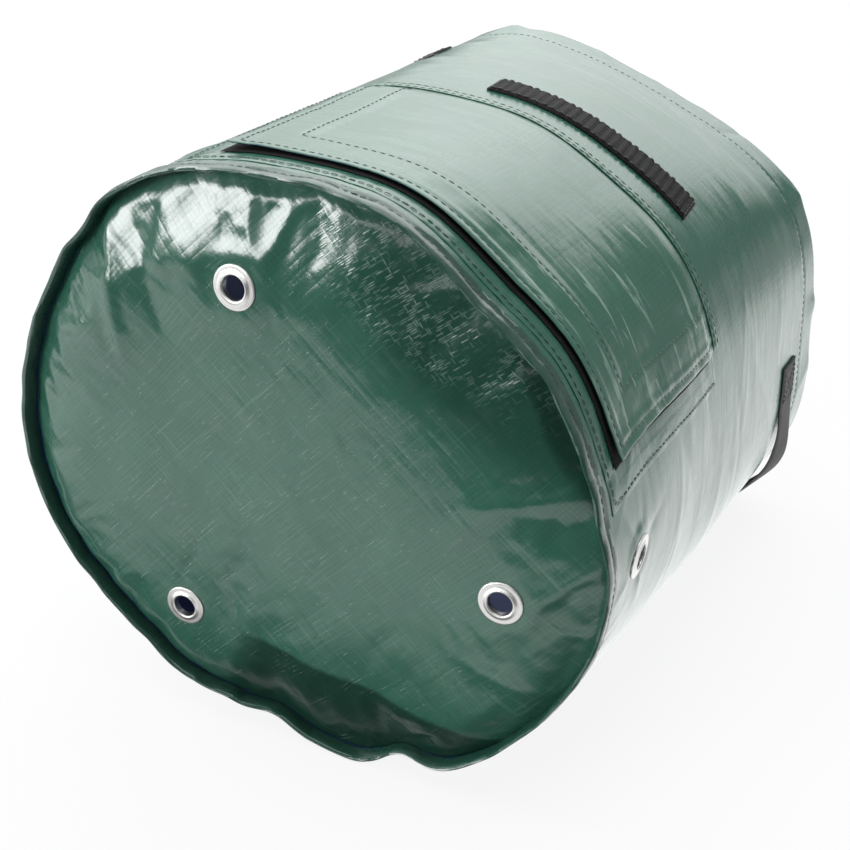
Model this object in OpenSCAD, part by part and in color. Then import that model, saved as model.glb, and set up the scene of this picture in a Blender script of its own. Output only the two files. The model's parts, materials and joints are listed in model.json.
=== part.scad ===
// Fabric grow bag: a round tarpaulin planter with a harvest flap, two webbing
// carry handles and pressed drainage eyelets. It stands upright on its seam
// lip, +Z up, origin at the centre of the lip's lower edge. The flap faces -Y
// and the handles sit on +X (right) and -X (left). Millimetres throughout.

/* [Bag] */
// Outside diameter of the wall
bag_d = 300; // [290:5:320]
// Height from the floor to the top edge
bag_h = 350; // [345:5:400]
// Thickness of one layer of tarpaulin
tarp_t = 0.6; // [0.4:0.1:0.8]
// Depth of the folded hem inside the top edge
hem_h = 25; // [15:1:30]
// Width of the lapped back seam
lap_w = 20; // [12:1:30]

/* [Base] */
// Height of the seam lip under the base panel
lip_h = 9.5; // [8:0.5:12]
// Height of the sagging middle of the base above the floor
base_sag_z = 2; // [1.5:0.5:4]
// Radius at which the base starts to rise towards the lip
base_flat_r = 119; // [117:1:125]
// Height of the binding on the outside of the lip
binding_h = 9; // [6:0.5:9]
// Thickness of the binding tape
binding_t = 0.5; // [0.4:0.1:0.6]

/* [Flap] */
// Half of the angle that the flap wraps round the wall, degrees
flap_a = 45.7; // [40:0.1:48]
// Lower edge of the flap
flap_z0 = 26; // [24:1:28]
// Sewn upper edge of the flap
flap_z1 = 160; // [150:1:165]
// Thickness of the doubled flap cloth
flap_t = 1; // [0.8:0.1:1.2]
// How far the window's facing shows past each side of the flap, degrees
facing_past = 7.3; // [2:0.1:9]
// Half of the angle of the window behind the flap, degrees
window_a = 36; // [30:1:36]
// Sill height of the window
window_z0 = 51; // [50:1:55]
// Head height of the window
window_z1 = 134; // [125:1:140]

/* [Hook and loop] */
// Width of the hook and loop tapes
tape_w = 20; // [16:1:21]
// Thickness of the loop tape
loop_t = 1.4; // [1:0.1:1.6]
// Thickness of the hook tape
hook_t = 1.2; // [1:0.1:1.4]
// Half of the angle of the keeper strip above the flap, degrees
keeper_a = 23.6; // [18:0.1:30]
// Lower edge of the keeper strip
keeper_z = 188; // [182:1:200]
// Width of the keeper strip
keeper_w = 24; // [20:1:25]

/* [Handles] */
// Width of the webbing
strap_w = 25; // [20:1:25]
// Thickness of the webbing
strap_t = 1.3; // [1:0.1:1.5]
// Height of the middle of the webbing above the floor
strap_z = 298; // [290:1:305]
// Furthest reach of the webbing loop beyond the wall
strap_reach = 26; // [26:0.5:28]
// Radius of the loop's bow
bow_r = 50.7; // [50.7:0.1:51]
// Length of each sewn end
tab_l = 27; // [20:1:30]

/* [Eyelets] */
// Radius of the hole through an eyelet
hole_r = 5.75; // [5.5:0.05:6]
// Outside radius of an eyelet's flange
flange_r = 11; // [10:0.5:11]
// Pitch circle diameter of the base eyelets
base_pcd = 210; // [200:1:214]
// Height of the side eyelets above the floor
side_eyelet_z = 40; // [36:1:44]
// Angle of each side eyelet from the middle of the flap, degrees
side_eyelet_a = 66.5; // [60:0.5:75]

/* [Hidden] */
$fn = 96;

green = [0.07, 0.30, 0.21];
black = [0.03, 0.03, 0.03];
silver = [0.86, 0.86, 0.84];
thread_green = [0.05, 0.22, 0.16];
thread_black = [0.1, 0.1, 0.1];

r_out = bag_d / 2;
r_in = r_out - tarp_t;
front = -90;                       // angle of the middle of the flap
back = 90;                         // angle of the back seam
deg_per_mm = 180 / PI / r_out;     // degrees of wall for one millimetre

// ---- ranges: [from, to] pairs of radii, angles or heights ----
function layer(inner_r, thickness) = [inner_r, inner_r + thickness];
function centred(middle, width) = [middle - width / 2, middle + width / 2];
function front_angles(half) = [front - half, front + half];
// angles from..to on one side of a middle angle, mirrored for side = -1
function side_angles(side, middle, from, to) =
    side > 0 ? [middle + from, middle + to] : [middle - to, middle - from];

// radial layers, from the wall outwards
layer_gap = 0.05;
facing_t = 0.5;
on_wall_r = r_out + layer_gap;     // inner radius of whatever lies on the wall
facing_radii = layer(on_wall_r, facing_t);
loop_radii = layer(facing_radii[1] + layer_gap, loop_t);
hook_radii = layer(loop_radii[1] + layer_gap, hook_t);
flap_radii = layer(hook_radii[1] + layer_gap, flap_t);

// ---- shared shapes ----
module section(radii, heights)
    translate([radii[0], heights[0]])
        square([radii[1] - radii[0], heights[1] - heights[0]]);

module ring(radii, heights)
    rotate_extrude() section(radii, heights);

// a curved strip of cloth or tape that follows the wall
module arc_strip(radii, angles, heights)
    rotate([0, 0, angles[0]])
        rotate_extrude(angle = angles[1] - angles[0])
            section(radii, heights);

// ---- threads: face_r is the radius of the cloth face they lie on ----
thread_t = 0.3;
thread_w = 0.6;
thread_gap = 0.02;                 // between the cloth and the thread
corner_gap = 0.7;                  // from a level row's middle to an upright row

module thread_round(face_r, angles, z)
    arc_strip(layer(face_r + thread_gap, thread_t), angles, centred(z, thread_w));

module thread_up(face_r, angle, heights)
    rotate([0, 0, angle])
        translate([face_r + thread_gap, -thread_w / 2, heights[0]])
            cube([thread_t, thread_w, heights[1] - heights[0]]);

// closed box of thread
module thread_box(face_r, angles, heights) {
    for (z = heights)
        thread_round(face_r, angles, z);
    for (angle = angles)
        thread_up(face_r, angle, [heights[0] + corner_gap, heights[1] - corner_gap]);
}

// level row with an upright at each end, open at the top
module thread_tray(face_r, angles, heights) {
    thread_round(face_r, angles, heights[0]);
    for (angle = angles)
        thread_up(face_r, angle, [heights[0] + corner_gap, heights[1]]);
}

// ---- bag ----
cloth_z0 = binding_t + 0.15;       // raw lower edges of the wall and the base
lap_z0 = binding_h + 0.5;
lap_half_a = lap_w / 2 * deg_per_mm;

module wall_panel() color(green) difference() {
    union() {
        ring([r_in, r_out], [cloth_z0, bag_h]);
        // the top edge is folded inside
        ring([r_in - tarp_t, r_in + tarp_t / 2], [bag_h - hem_h, bag_h]);
        // the sheet's two ends lap at the back
        arc_strip([r_in + tarp_t / 2, r_out + tarp_t],
                  [back - lap_half_a, back + lap_half_a], [lap_z0, bag_h]);
    }
    window_cut();
    at_side_eyelets(r_out - eyelet_cut_h / 2) eyelet_cut();
}

window_cut_past = 3;               // overrun of the cut on each side of the wall
module window_cut()
    arc_strip([r_in - window_cut_past, r_out + window_cut_past],
              front_angles(window_a), [window_z0, window_z1]);

base_r = r_in - layer_gap;         // outside of the base's turned-down lip
lip_r = base_r - tarp_t;           // inside of that lip
under_limit_r = r_in - tarp_t - 0.2;   // the underside's curve stops short of this
lip_fold_z = lip_h - 0.8;          // where the underside meets the inside of the lip
base_steps = 14;
base_radii = [for (i = [0 : base_steps])
              base_flat_r + (base_r - base_flat_r) * i / base_steps];

// height of the base's upper face: flat in the middle, a half cosine wave to the lip
function base_z(radius) = base_sag_z + tarp_t + (radius <= base_flat_r ? 0
    : (lip_h - base_sag_z) * (1 - cos(180 * (radius - base_flat_r)
                                      / (r_in - base_flat_r))) / 2);

module base_panel() color(green) difference() {
    rotate_extrude() polygon(concat(
        // underside, outwards
        [[0, base_sag_z]],
        [for (radius = base_radii) if (radius < under_limit_r)
            [radius, base_z(radius) - tarp_t]],
        // lip
        [[lip_r, lip_fold_z], [lip_r, cloth_z0], [base_r, cloth_z0]],
        // upper face, inwards
        [for (i = [base_steps : -1 : 0]) [base_radii[i], base_z(base_radii[i])]],
        [[0, base_sag_z + tarp_t]]));
    at_base_eyelets() translate([0, 0, -1]) eyelet_cut();
}

// folded tape that closes the raw edges of the wall and the base
binding_r0 = lip_r - layer_gap - binding_t;
binding_r1 = on_wall_r + binding_t;
binding_inner_h = binding_h - 2.5;
module rim_binding() color(green) rotate_extrude() union() {
    section([on_wall_r, binding_r1], [0, binding_h]);
    section([binding_r0, binding_r1], [0, binding_t]);
    section(layer(binding_r0, binding_t), [0, binding_inner_h]);
}

module rim_stitching() color(thread_green)
    ring(layer(binding_r1 + thread_gap, thread_t), centred(6, thread_w));

hem_stitch_up = 3;                 // above the hem's lower edge
hem_stitch_a = (lap_w / 2 + 1) * deg_per_mm;   // the row stops short of the lap
module top_hem_stitching() color(thread_green)
    thread_round(r_out, [back + hem_stitch_a, back + 360 - hem_stitch_a],
                 bag_h - hem_h + hem_stitch_up);

seam_stitch_in = 3;                // from each edge of the lap
module back_seam_stitching() color(thread_green)
    for (side = [-1, 1])
        thread_up(r_out + tarp_t,
                  back + side * (lap_w / 2 - seam_stitch_in) * deg_per_mm,
                  [binding_h + 2, bag_h - 2]);

// ---- window facing ----
facing_a = flap_a + facing_past;
facing_z0 = 14;
facing_z1 = flap_z1 - 1;

module window_facing() color(green) difference() {
    arc_strip(facing_radii, front_angles(facing_a), [facing_z0, facing_z1]);
    window_cut();
}

module facing_stitching() color(thread_green)
    thread_tray(facing_radii[1], front_angles(facing_a - 0.7),
                [facing_z0 + 3, facing_z1 - 1]);

// ---- hook and loop tapes ----
// how far inside the flap's edge each tape starts (negative: outside it)
hook_edge = 1.5;
loop_edge = -2.5;
tape_end_gap = 0.5;                // between the bottom tape and the side tapes
tape_top_drop = 6;                 // side tapes end this far below flap_z1

module side_tape(side, radii, edge) {
    edge_a = flap_a - edge * deg_per_mm;
    arc_strip(radii, side_angles(side, front, edge_a - tape_w * deg_per_mm, edge_a),
              [flap_z0 + edge + tape_w + tape_end_gap, flap_z1 - tape_top_drop]);
}

module bottom_tape(radii, edge)
    arc_strip(radii, front_angles(flap_a - edge * deg_per_mm),
              [flap_z0 + edge, flap_z0 + edge + tape_w]);

module loop_tape_left() color(black) side_tape(-1, loop_radii, loop_edge);
module loop_tape_right() color(black) side_tape(1, loop_radii, loop_edge);
module loop_tape_bottom() color(black) bottom_tape(loop_radii, loop_edge);
module hook_tape_left() color(black) side_tape(-1, hook_radii, hook_edge);
module hook_tape_right() color(black) side_tape(1, hook_radii, hook_edge);
module hook_tape_bottom() color(black) bottom_tape(hook_radii, hook_edge);

keeper_radii = layer(on_wall_r, 1.6);
keeper_stitch_in = 2;              // from the long edges
module keeper_strip() color(black)
    arc_strip(keeper_radii, front_angles(keeper_a), [keeper_z, keeper_z + keeper_w]);

module keeper_stitching() color(thread_black)
    thread_box(keeper_radii[1], front_angles(keeper_a - 0.8),
               [keeper_z + keeper_stitch_in, keeper_z + keeper_w - keeper_stitch_in]);

// ---- flap ----
flap_gap = 1.2;                    // slack left for the flap's hinge fold
flap_stitch_in = 4;                // outer stitching, from the flap's edges

module flap_panel() color(green)
    arc_strip(flap_radii, front_angles(flap_a), [flap_z0, flap_z1 - flap_gap]);

// two rows of thread, a tape's width apart
module flap_stitching() color(thread_green)
    for (inset = [flap_stitch_in, flap_stitch_in + tape_w])
        thread_tray(flap_radii[1], front_angles(flap_a - inset * deg_per_mm),
                    [flap_z0 + inset, flap_z1 - flap_stitch_in]);

// band sewn to the wall above the flap
header_radii = layer(on_wall_r, flap_t);
module flap_header() color(green)
    arc_strip(header_radii, front_angles(flap_a), [flap_z1 + 0.5, flap_z1 + 7]);

module header_stitching() color(thread_green)
    thread_round(header_radii[1], front_angles(flap_a - 1), flap_z1 + 3.5);

// ---- handles: drawn on +X, turned half round for -X ----
bow_x = r_out + strap_reach - bow_r;        // centre of the bow
bow_a = 62;                                 // half angle of the bow
root_r = 16;                                // reverse curve from bow to wall
root_end_a = 22;                            // where that curve stops
root_x = bow_x + (bow_r + root_r) * cos(bow_a);
root_y = (bow_r + root_r) * sin(bow_a);
tab_a0 = 21;                                // where the sewn end starts
strap_heights = centred(strap_z, strap_w);
tab_radii = layer(on_wall_r, strap_t);

// webbing's outline seen from the side: [distance beyond the wall, half-height]
neck_outline = [[-14, 2.1], [-4, 2.1], [0, 4], [8, 8.4],
                [16, strap_w / 2 + 1], [45, strap_w / 2 + 1]];
neck_last = len(neck_outline) - 1;
neck_cut_w = 160;                           // wider than the loop
function neck_point(i, side) =
    [r_out + neck_outline[i][0], side * neck_outline[i][1]];

module strap_loop() intersection() {
    union() {
        translate([bow_x, 0, 0])
            arc_strip(centred(bow_r, strap_t), [-bow_a, bow_a], strap_heights);
        for (side = [-1, 1])
            translate([root_x, side * root_y, 0])
                arc_strip(centred(root_r, strap_t),
                          side_angles(side, 180, root_end_a, bow_a), strap_heights);
    }
    // gathered to a neck at the sewn line, so that the loop can swing
    translate([0, neck_cut_w / 2, strap_z])
        rotate([90, 0, 0])
            linear_extrude(neck_cut_w)
                polygon(concat([for (i = [0 : neck_last]) neck_point(i, -1)],
                               [for (i = [neck_last : -1 : 0]) neck_point(i, 1)]));
}

module strap_ends()
    for (side = [-1, 1])
        arc_strip(tab_radii,
                  side_angles(side, 0, tab_a0, tab_a0 + tab_l * deg_per_mm),
                  strap_heights);

// box of thread on each sewn end
module strap_box_stitch()
    for (side = [-1, 1])
        thread_box(tab_radii[1],
                   side_angles(side, 0, tab_a0 + 4 * deg_per_mm,
                               tab_a0 + (tab_l - 3) * deg_per_mm),
                   centred(strap_z, strap_w - 6));

module handle_right_strap() color(black) strap_loop();
module handle_left_strap() color(black) rotate([0, 0, 180]) strap_loop();
module handle_right_ends() color(black) strap_ends();
module handle_left_ends() color(black) rotate([0, 0, 180]) strap_ends();
module handle_right_stitching() color(thread_black) strap_box_stitch();
module handle_left_stitching() color(thread_black)
    rotate([0, 0, 180]) strap_box_stitch();

// ---- eyelets: the flanged barrel shows outside, the washer inside ----
// drawn with the cloth's outer face at z = 0 and the outside towards +z
base_eyelet_angles = [225, 345, 105];
eyelet_cut_h = 12;
side_seat_r = r_out + 0.02;

module eyelet_cut() cylinder(r = hole_r + 0.75, h = eyelet_cut_h);

// profile points are [radius, height]
module eyelet_barrel(depth) rotate_extrude() polygon([
    [hole_r, -depth], [hole_r, 0.9], [hole_r + 0.25, 1.25],
    [hole_r + 0.75, 1.45], [hole_r + 1.35, 1.35], [hole_r + 1.9, 1.0],
    [hole_r + 2.5, 0.92], [flange_r - 1.2, 0.85], [flange_r - 0.4, 0.6],
    [flange_r, 0.1], [flange_r, 0.03], [hole_r + 0.6, 0.03],
    [hole_r + 0.6, -depth]]);

module eyelet_washer(depth) translate([0, 0, -depth]) rotate_extrude() polygon([
    [hole_r + 0.7, 0], [hole_r + 1.2, -0.5], [flange_r - 1.2, -0.6],
    [flange_r, -0.2], [flange_r, 0], [flange_r - 1, 0]]);

module at_base_eyelets()
    for (angle = base_eyelet_angles)
        rotate([0, 0, angle]) translate([base_pcd / 2, 0, 0]) children();

// turned over, as the outside of the base is its underside
module under_base()
    at_base_eyelets() translate([0, 0, base_sag_z]) rotate([180, 0, 0]) children();

module at_side_eyelets(radius)
    for (side = [-1, 1])
        rotate([0, 0, front + side * side_eyelet_a])
            translate([radius, 0, side_eyelet_z])
                rotate([0, 90, 0]) children();

module base_eyelets() color(silver) under_base() eyelet_barrel(1.8);
module base_eyelet_washers() color(silver)
    under_base() eyelet_washer(tarp_t + 0.05);
module side_eyelets() color(silver)
    at_side_eyelets(side_seat_r) eyelet_barrel(2.4);
module side_eyelet_washers() color(silver)
    at_side_eyelets(side_seat_r) eyelet_washer(tarp_t + 0.5);

wall_panel();
base_panel();
rim_binding();
window_facing();
loop_tape_left();
loop_tape_right();
loop_tape_bottom();
flap_panel();
hook_tape_left();
hook_tape_right();
hook_tape_bottom();
flap_header();
keeper_strip();
handle_right_strap();
handle_left_strap();
handle_right_ends();
handle_left_ends();
base_eyelets();
base_eyelet_washers();
side_eyelets();
side_eyelet_washers();
rim_stitching();
top_hem_stitching();
back_seam_stitching();
facing_stitching();
flap_stitching();
header_stitching();
keeper_stitching();
handle_right_stitching();
handle_left_stitching();
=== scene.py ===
"""Round tarpaulin bag with a flap over a window, soft and slumped.

The bag's axis is +Z: the base is near z = 0 and the open mouth at z = 0.35. The flap faces -Y,
the lapped back seam is at +Y and the handles are at +X and -X. The bag is shown lying on a
floor, on the side that faces +Y and a little +X. Lengths are in metres unless marked mm.
"""
import json
import math
from math import radians

import bpy
import numpy as np
from mathutils import Matrix, Vector
from mathutils.geometry import delaunay_2d_cdt


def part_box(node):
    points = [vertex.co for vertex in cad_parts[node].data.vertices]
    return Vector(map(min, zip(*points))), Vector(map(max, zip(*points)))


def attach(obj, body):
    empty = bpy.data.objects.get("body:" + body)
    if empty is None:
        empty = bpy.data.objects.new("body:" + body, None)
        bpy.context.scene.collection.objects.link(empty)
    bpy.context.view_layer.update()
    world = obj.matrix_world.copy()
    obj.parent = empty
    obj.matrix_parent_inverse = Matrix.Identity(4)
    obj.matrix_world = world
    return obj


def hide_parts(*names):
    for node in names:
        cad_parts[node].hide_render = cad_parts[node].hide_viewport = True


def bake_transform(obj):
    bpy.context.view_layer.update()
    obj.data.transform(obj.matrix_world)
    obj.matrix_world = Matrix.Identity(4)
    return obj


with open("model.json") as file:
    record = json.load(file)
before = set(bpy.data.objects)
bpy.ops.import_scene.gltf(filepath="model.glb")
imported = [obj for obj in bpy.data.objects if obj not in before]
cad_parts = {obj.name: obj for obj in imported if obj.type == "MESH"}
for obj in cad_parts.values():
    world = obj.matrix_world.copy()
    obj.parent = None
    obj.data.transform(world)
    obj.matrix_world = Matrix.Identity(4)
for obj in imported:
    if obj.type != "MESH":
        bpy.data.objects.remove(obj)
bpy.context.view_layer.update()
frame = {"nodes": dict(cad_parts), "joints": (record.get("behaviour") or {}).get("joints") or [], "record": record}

PI = math.pi
MM = 0.001
RADIUS = 0.150                       # of the round bag before it slumps
HEIGHT = 0.350
FRONT = -PI / 2                      # angle of the middle of the flap
CLOTH_T = 0.00045                    # thickness of wall and base
FLAP_T = 0.00085

# sizes that come from the frame
flap_lo, flap_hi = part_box("flap_panel")
header_lo, header_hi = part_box("flap_header")
keeper_lo, keeper_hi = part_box("keeper_strip")
facing_lo, facing_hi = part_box("window_facing")
ends_lo, ends_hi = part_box("handle_right_ends")
HINGE = next(j for j in frame["joints"] if j["name"] == "flap_hinge")["pos_m"]
BASE_MOUNT = {m["name"]: m for m in frame["record"]["mounts"]}["base_eyelets"]["dims"]

# half-angles of the pieces round the front: half-width over the radius of the outer face
FLAP_A = math.asin(flap_hi.x / 0.1543)
KEEPER_A = math.asin(keeper_hi.x / 0.15165)
FACING_A = math.asin(facing_hi.x / 0.15055)
WINDOW_A = radians(36)
WINDOW_Z0, WINDOW_Z1 = 0.051, 0.134
STRAP_Z = (ends_lo.z + ends_hi.z) / 2
STRAP_W = ends_hi.z - ends_lo.z
SIDE_EYE_A, SIDE_EYE_Z = radians(66.5), 0.040     # each way from the front
HOLE_R = BASE_MOUNT["hole_r_mm"] * MM
FLANGE_R = 0.0110
PUNCHED_R = 0.0064                   # hole in the cloth under an eyelet
TOP_HEM_Z = 0.3280                   # row of stitches of the hem at the mouth
RIM_ROW_Z = 0.0060                   # row of stitches of the rim round the base


# ------------------------------------------------------------------ helpers
def smooth(start, end, x):
    """0 at start, 1 at end, eased; start may be the larger."""
    t = np.clip((x - start) / (end - start), 0, 1)
    return t * t * (3 - 2 * t)


def wrap(angle):
    return (angle + PI) % (2 * PI) - PI


def bump(phi, centre_deg, width_deg):
    return np.exp(-(wrap(phi - radians(centre_deg)) / radians(width_deg)) ** 2)


def bumps(phi, table):
    return sum(size * bump(phi, centre, width) for size, centre, width in table)


def quarter_round(x):
    """Quarter circle rising from 0 at x = 0 to 1 at x = 1."""
    return np.sqrt(np.clip(1 - (1 - x) ** 2, 0, 1))


def catmull_rom(lattice, u, v, wrap_u=True):
    """Catmull-Rom lookup of a lattice at cell coordinates u, v."""
    u, v = np.broadcast_arrays(np.asarray(u, float), np.asarray(v, float))
    i, j = np.floor(u).astype(int), np.floor(v).astype(int)

    def weights(t):
        return ((-t ** 3 + 2 * t ** 2 - t) / 2, (3 * t ** 3 - 5 * t ** 2 + 2) / 2,
                (-3 * t ** 3 + 4 * t ** 2 + t) / 2, (t ** 3 - t ** 2) / 2)
    weight_u, weight_v = weights(u - i), weights(v - j)
    total = 0
    for a in range(4):
        col = i + a - 1
        col = col % lattice.shape[0] if wrap_u else np.clip(col, 0, lattice.shape[0] - 1)
        line = 0
        for b in range(4):
            row = np.clip(j + b - 1, 0, lattice.shape[1] - 1)
            line = line + weight_v[b] * lattice[col, row]
        total = total + weight_u[a] * line
    return total


def noise(phi, z, cells, cell_z, seed):
    """Smooth noise in -1..1, periodic in phi with this many cells, each cell_z tall."""
    rows = int(0.42 / cell_z) + 6
    lattice = np.random.RandomState(seed).uniform(-1, 1, (cells, rows))
    return catmull_rom(lattice, (np.asarray(phi) % (2 * PI)) / (2 * PI) * cells,
                       (np.asarray(z) + 0.03) / cell_z + 1)


def ring_noise(phi, cells, seed):
    """Noise that changes only with the angle."""
    return noise(phi, 0, cells, 0.05, seed)


def plan_noise(x, y, cell, seed, count=64):
    lattice = np.random.RandomState(seed).uniform(-1, 1, (count, count))
    return catmull_rom(lattice, np.asarray(x) / cell % count,
                       np.clip(np.asarray(y) / cell + count / 2, 1, count - 3))


def spaced(start, end, step):
    return np.linspace(start, end, max(2, int(round((end - start) / step)) + 1))


def joined(stops, step):
    """Even steps between each pair of stops, with every stop kept exactly."""
    parts = [spaced(a, b, step) for a, b in zip(stops, stops[1:])]
    return np.concatenate([parts[0]] + [part[1:] for part in parts[1:]])


# ------------------------------------------------- the wall as one soft surface
# slumped outline in mm: a constant, then a cosine and a sine term for each harmonic of the angle
FOOT = (1.5, -2.5, 1.3, 4.2, -0.2, 2.7, 0.6, -1.5, 0.6, -0.2, -0.4, -0.9, -0.1,
        0.7, -0.5, 0, -0.3, -0.7, 0.6, -0.4, 0.1, 0.3, -0.3, 0.2, -0.2)
MOUTH = (-2.6, 19.3, 2.3, 13.3, 4.3, 3.7, -2.1, -0.2, 3.5, 2.3, 3.2, 0.7, 1.8, 0.2, 1.5)
WAIST = (-0.4, 1.0, -3.7, -1.9, 0.3, 0.4, 1.5, 1.1, 0.4, 1.1, 0)
# bumps round the rim of the base: size in mm, centre and width in degrees
RIM_KINKS = ((-4.0, 41, 4.5), (2.4, 32, 5), (1.2, 50, 4), (-2.5, 68, 4), (1.5, 76, 4),
             (-1.6, 101, 3), (-1.2, 117, 3), (-2.0, -162, 4), (-1.2, -36, 4))
RIM_LIFTS = ((3.0, 41, 5), (-1.0, 30, 6), (1.5, 70, 7))
# folds that run mostly round the wall:
# count, seed, half-length, half-width, height, spread of tilt in degrees, lowest z
CREASES = ((90, 21, 0.055, 0.0055, 0.00038, 13, 0.02),
           (70, 22, 0.024, 0.0026, 0.00011, 22, 0.01),
           (26, 24, 0.070, 0.0090, 0.00080, 30, 0.05))
CREASE_TOP = 0.33
# short folds that run out of each side eyelet: direction in radians, strength
EYELET_RAYS = ((0.35, 1), (-2.6, 0.8), (1.9, -0.7), (-1.2, 0.6), (2.9, -0.5))

FIELD_COLS, FIELD_ROWS = 1080, 300
FIELD_PHI = np.arange(FIELD_COLS) / FIELD_COLS * 2 * PI
FIELD_Z = np.linspace(-0.004, 0.356, FIELD_ROWS)
FIELD_DZ = FIELD_Z[1] - FIELD_Z[0]
GRID_PHI, GRID_Z = np.meshgrid(FIELD_PHI, FIELD_Z, indexing="ij")
TURN_COLS, TURN_ROWS = 720, 36


def waves(terms, phi):
    total = terms[0] + 0 * phi
    for k in range(1, (len(terms) - 1) // 2 + 1):
        total = total + terms[2 * k - 1] * np.cos(k * phi) + terms[2 * k] * np.sin(k * phi)
    return total


def oval(phi, z):
    """Radius of the slumped outline, without folds."""
    t = np.clip(z / HEIGHT, 0, 1.03)
    r = RADIUS + MM * ((1 - t) * waves(FOOT, phi) + t * waves(MOUTH, phi)
                       + 4 * t * (1 - t) * waves(WAIST, phi))
    # the wall is drawn in where the right handle is sewn to it
    near_strap = np.exp(-(np.abs(z - STRAP_Z) / 0.040) ** 2.5)
    return r - 0.0030 * near_strap * bump(phi, 5, 24)


def lift(phi, z):
    """Waviness of the rim along z, fading up the wall."""
    rim = MM * (bumps(phi, RIM_LIFTS) + 0.7 * ring_noise(phi, 34, 5)
                + 0.35 * ring_noise(phi, 90, 6))
    return rim * (1 - smooth(0.0, 0.030, np.asarray(z)))


def add_creases(field, gain, count, seed, length, width, height, tilt, z_low):
    """Adds long sharp-topped folds to the field of radii."""
    draw = np.random.RandomState(seed)
    for _ in range(count):
        centre = draw.uniform(-PI, PI)
        mid_z = draw.uniform(z_low, CREASE_TOP)
        lean = radians(draw.normal(0, tilt))
        half = length * draw.uniform(0.5, 1.5)
        wide = width * draw.uniform(0.6, 1.6)
        rise = height * draw.uniform(0.3, 1.0) * (1 if draw.rand() < 0.6 else -1)
        bend = draw.uniform(-1, 1) * 0.18 / half
        power = draw.uniform(0.8, 1.5)
        # only the part of the grid that the fold reaches
        first = int((centre - half / RADIUS) / (2 * PI) * FIELD_COLS)
        last = int((centre + half / RADIUS) / (2 * PI) * FIELD_COLS) + 2
        reach = half * abs(math.sin(lean)) + 5 * wide + 0.2 * half
        low = max(0, int((mid_z - reach - FIELD_Z[0]) / FIELD_DZ))
        high = min(FIELD_ROWS, int((mid_z + reach - FIELD_Z[0]) / FIELD_DZ) + 2)
        cols = np.arange(first, last) % FIELD_COLS
        arc_x = (wrap(FIELD_PHI[cols] - centre) * RADIUS)[:, None]
        arc_z = (FIELD_Z[low:high] - mid_z)[None, :]
        along = arc_x * math.cos(lean) + arc_z * math.sin(lean)
        across = -arc_x * math.sin(lean) + arc_z * math.cos(lean) + bend * along ** 2
        fade = np.clip(1 - (along / half) ** 2, 0, None) ** 1.5
        ridge = rise * fade * np.exp(-(np.abs(across) / wide) ** power)
        field[cols, low:high] += ridge * gain[cols, low:high]


def upright_fold(draw, lengths, lean_spread, widths, height, power, root):
    """Profile over the grid and length of a random fold that starts at z = root."""
    centre, length = draw.uniform(-PI, PI), draw.uniform(*lengths)
    lean, width = draw.normal(0, lean_spread), draw.uniform(*widths)
    rise = draw.uniform(-1, 1) * height
    across = wrap(GRID_PHI - centre) * RADIUS - lean * (GRID_Z - root)
    return rise * np.exp(-(np.abs(across) / width) ** power), length


def flap_mask(phi, z):
    """1 on the wall under the flap, 0 away from it."""
    side = np.abs(wrap(phi - FRONT)) * RADIUS
    return (smooth(FLAP_A * RADIUS + 0.008, FLAP_A * RADIUS - 0.008, side)
            * smooth(flap_lo.z - 0.012, flap_lo.z + 0.004, z)
            * smooth(flap_hi.z + 0.010, flap_hi.z - 0.004, z))


def make_turn():
    """How far each thread has moved round as the tube slumped: cloth keeps its length."""
    phi = FRONT + np.linspace(0, 2 * PI, 2 * TURN_COLS + 1)
    thread = FRONT + np.arange(TURN_COLS) / TURN_COLS * 2 * PI
    out = np.zeros((TURN_COLS, TURN_ROWS))
    for k, z in enumerate(np.linspace(0, HEIGHT, TURN_ROWS)):
        r = oval(phi, np.full(phi.shape, z))
        steps = np.hypot(np.diff(r * np.cos(phi)), np.diff(r * np.sin(phi)))
        run = np.concatenate([[0], np.cumsum(steps)])
        out[:, k] = np.interp((thread - FRONT) / (2 * PI) * run[-1], run, phi) - thread
    return out


TURN = make_turn()


def turned(thread, z):
    """Where the thread at this angle of the round bag lies on the slumped one."""
    thread, z = np.asarray(thread, float), np.asarray(z, float)
    away = wrap(thread - FRONT)
    rise = smooth(0.026, 0.160, z)
    near = smooth(2.0, 1.0, np.abs(away))
    shift = radians(1.6)
    thread = thread + near * (-0.032 * (1 - rise) * away
                              + shift * rise * smooth(0.26, 0.17, z)
                              - shift * smooth(0.165, 0.190, z) * smooth(0.28, 0.23, z))
    u = ((thread - FRONT) % (2 * PI)) / (2 * PI) * TURN_COLS
    return thread + catmull_rom(TURN, u, np.clip(z / HEIGHT, 0, 1) * (TURN_ROWS - 1))


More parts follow.
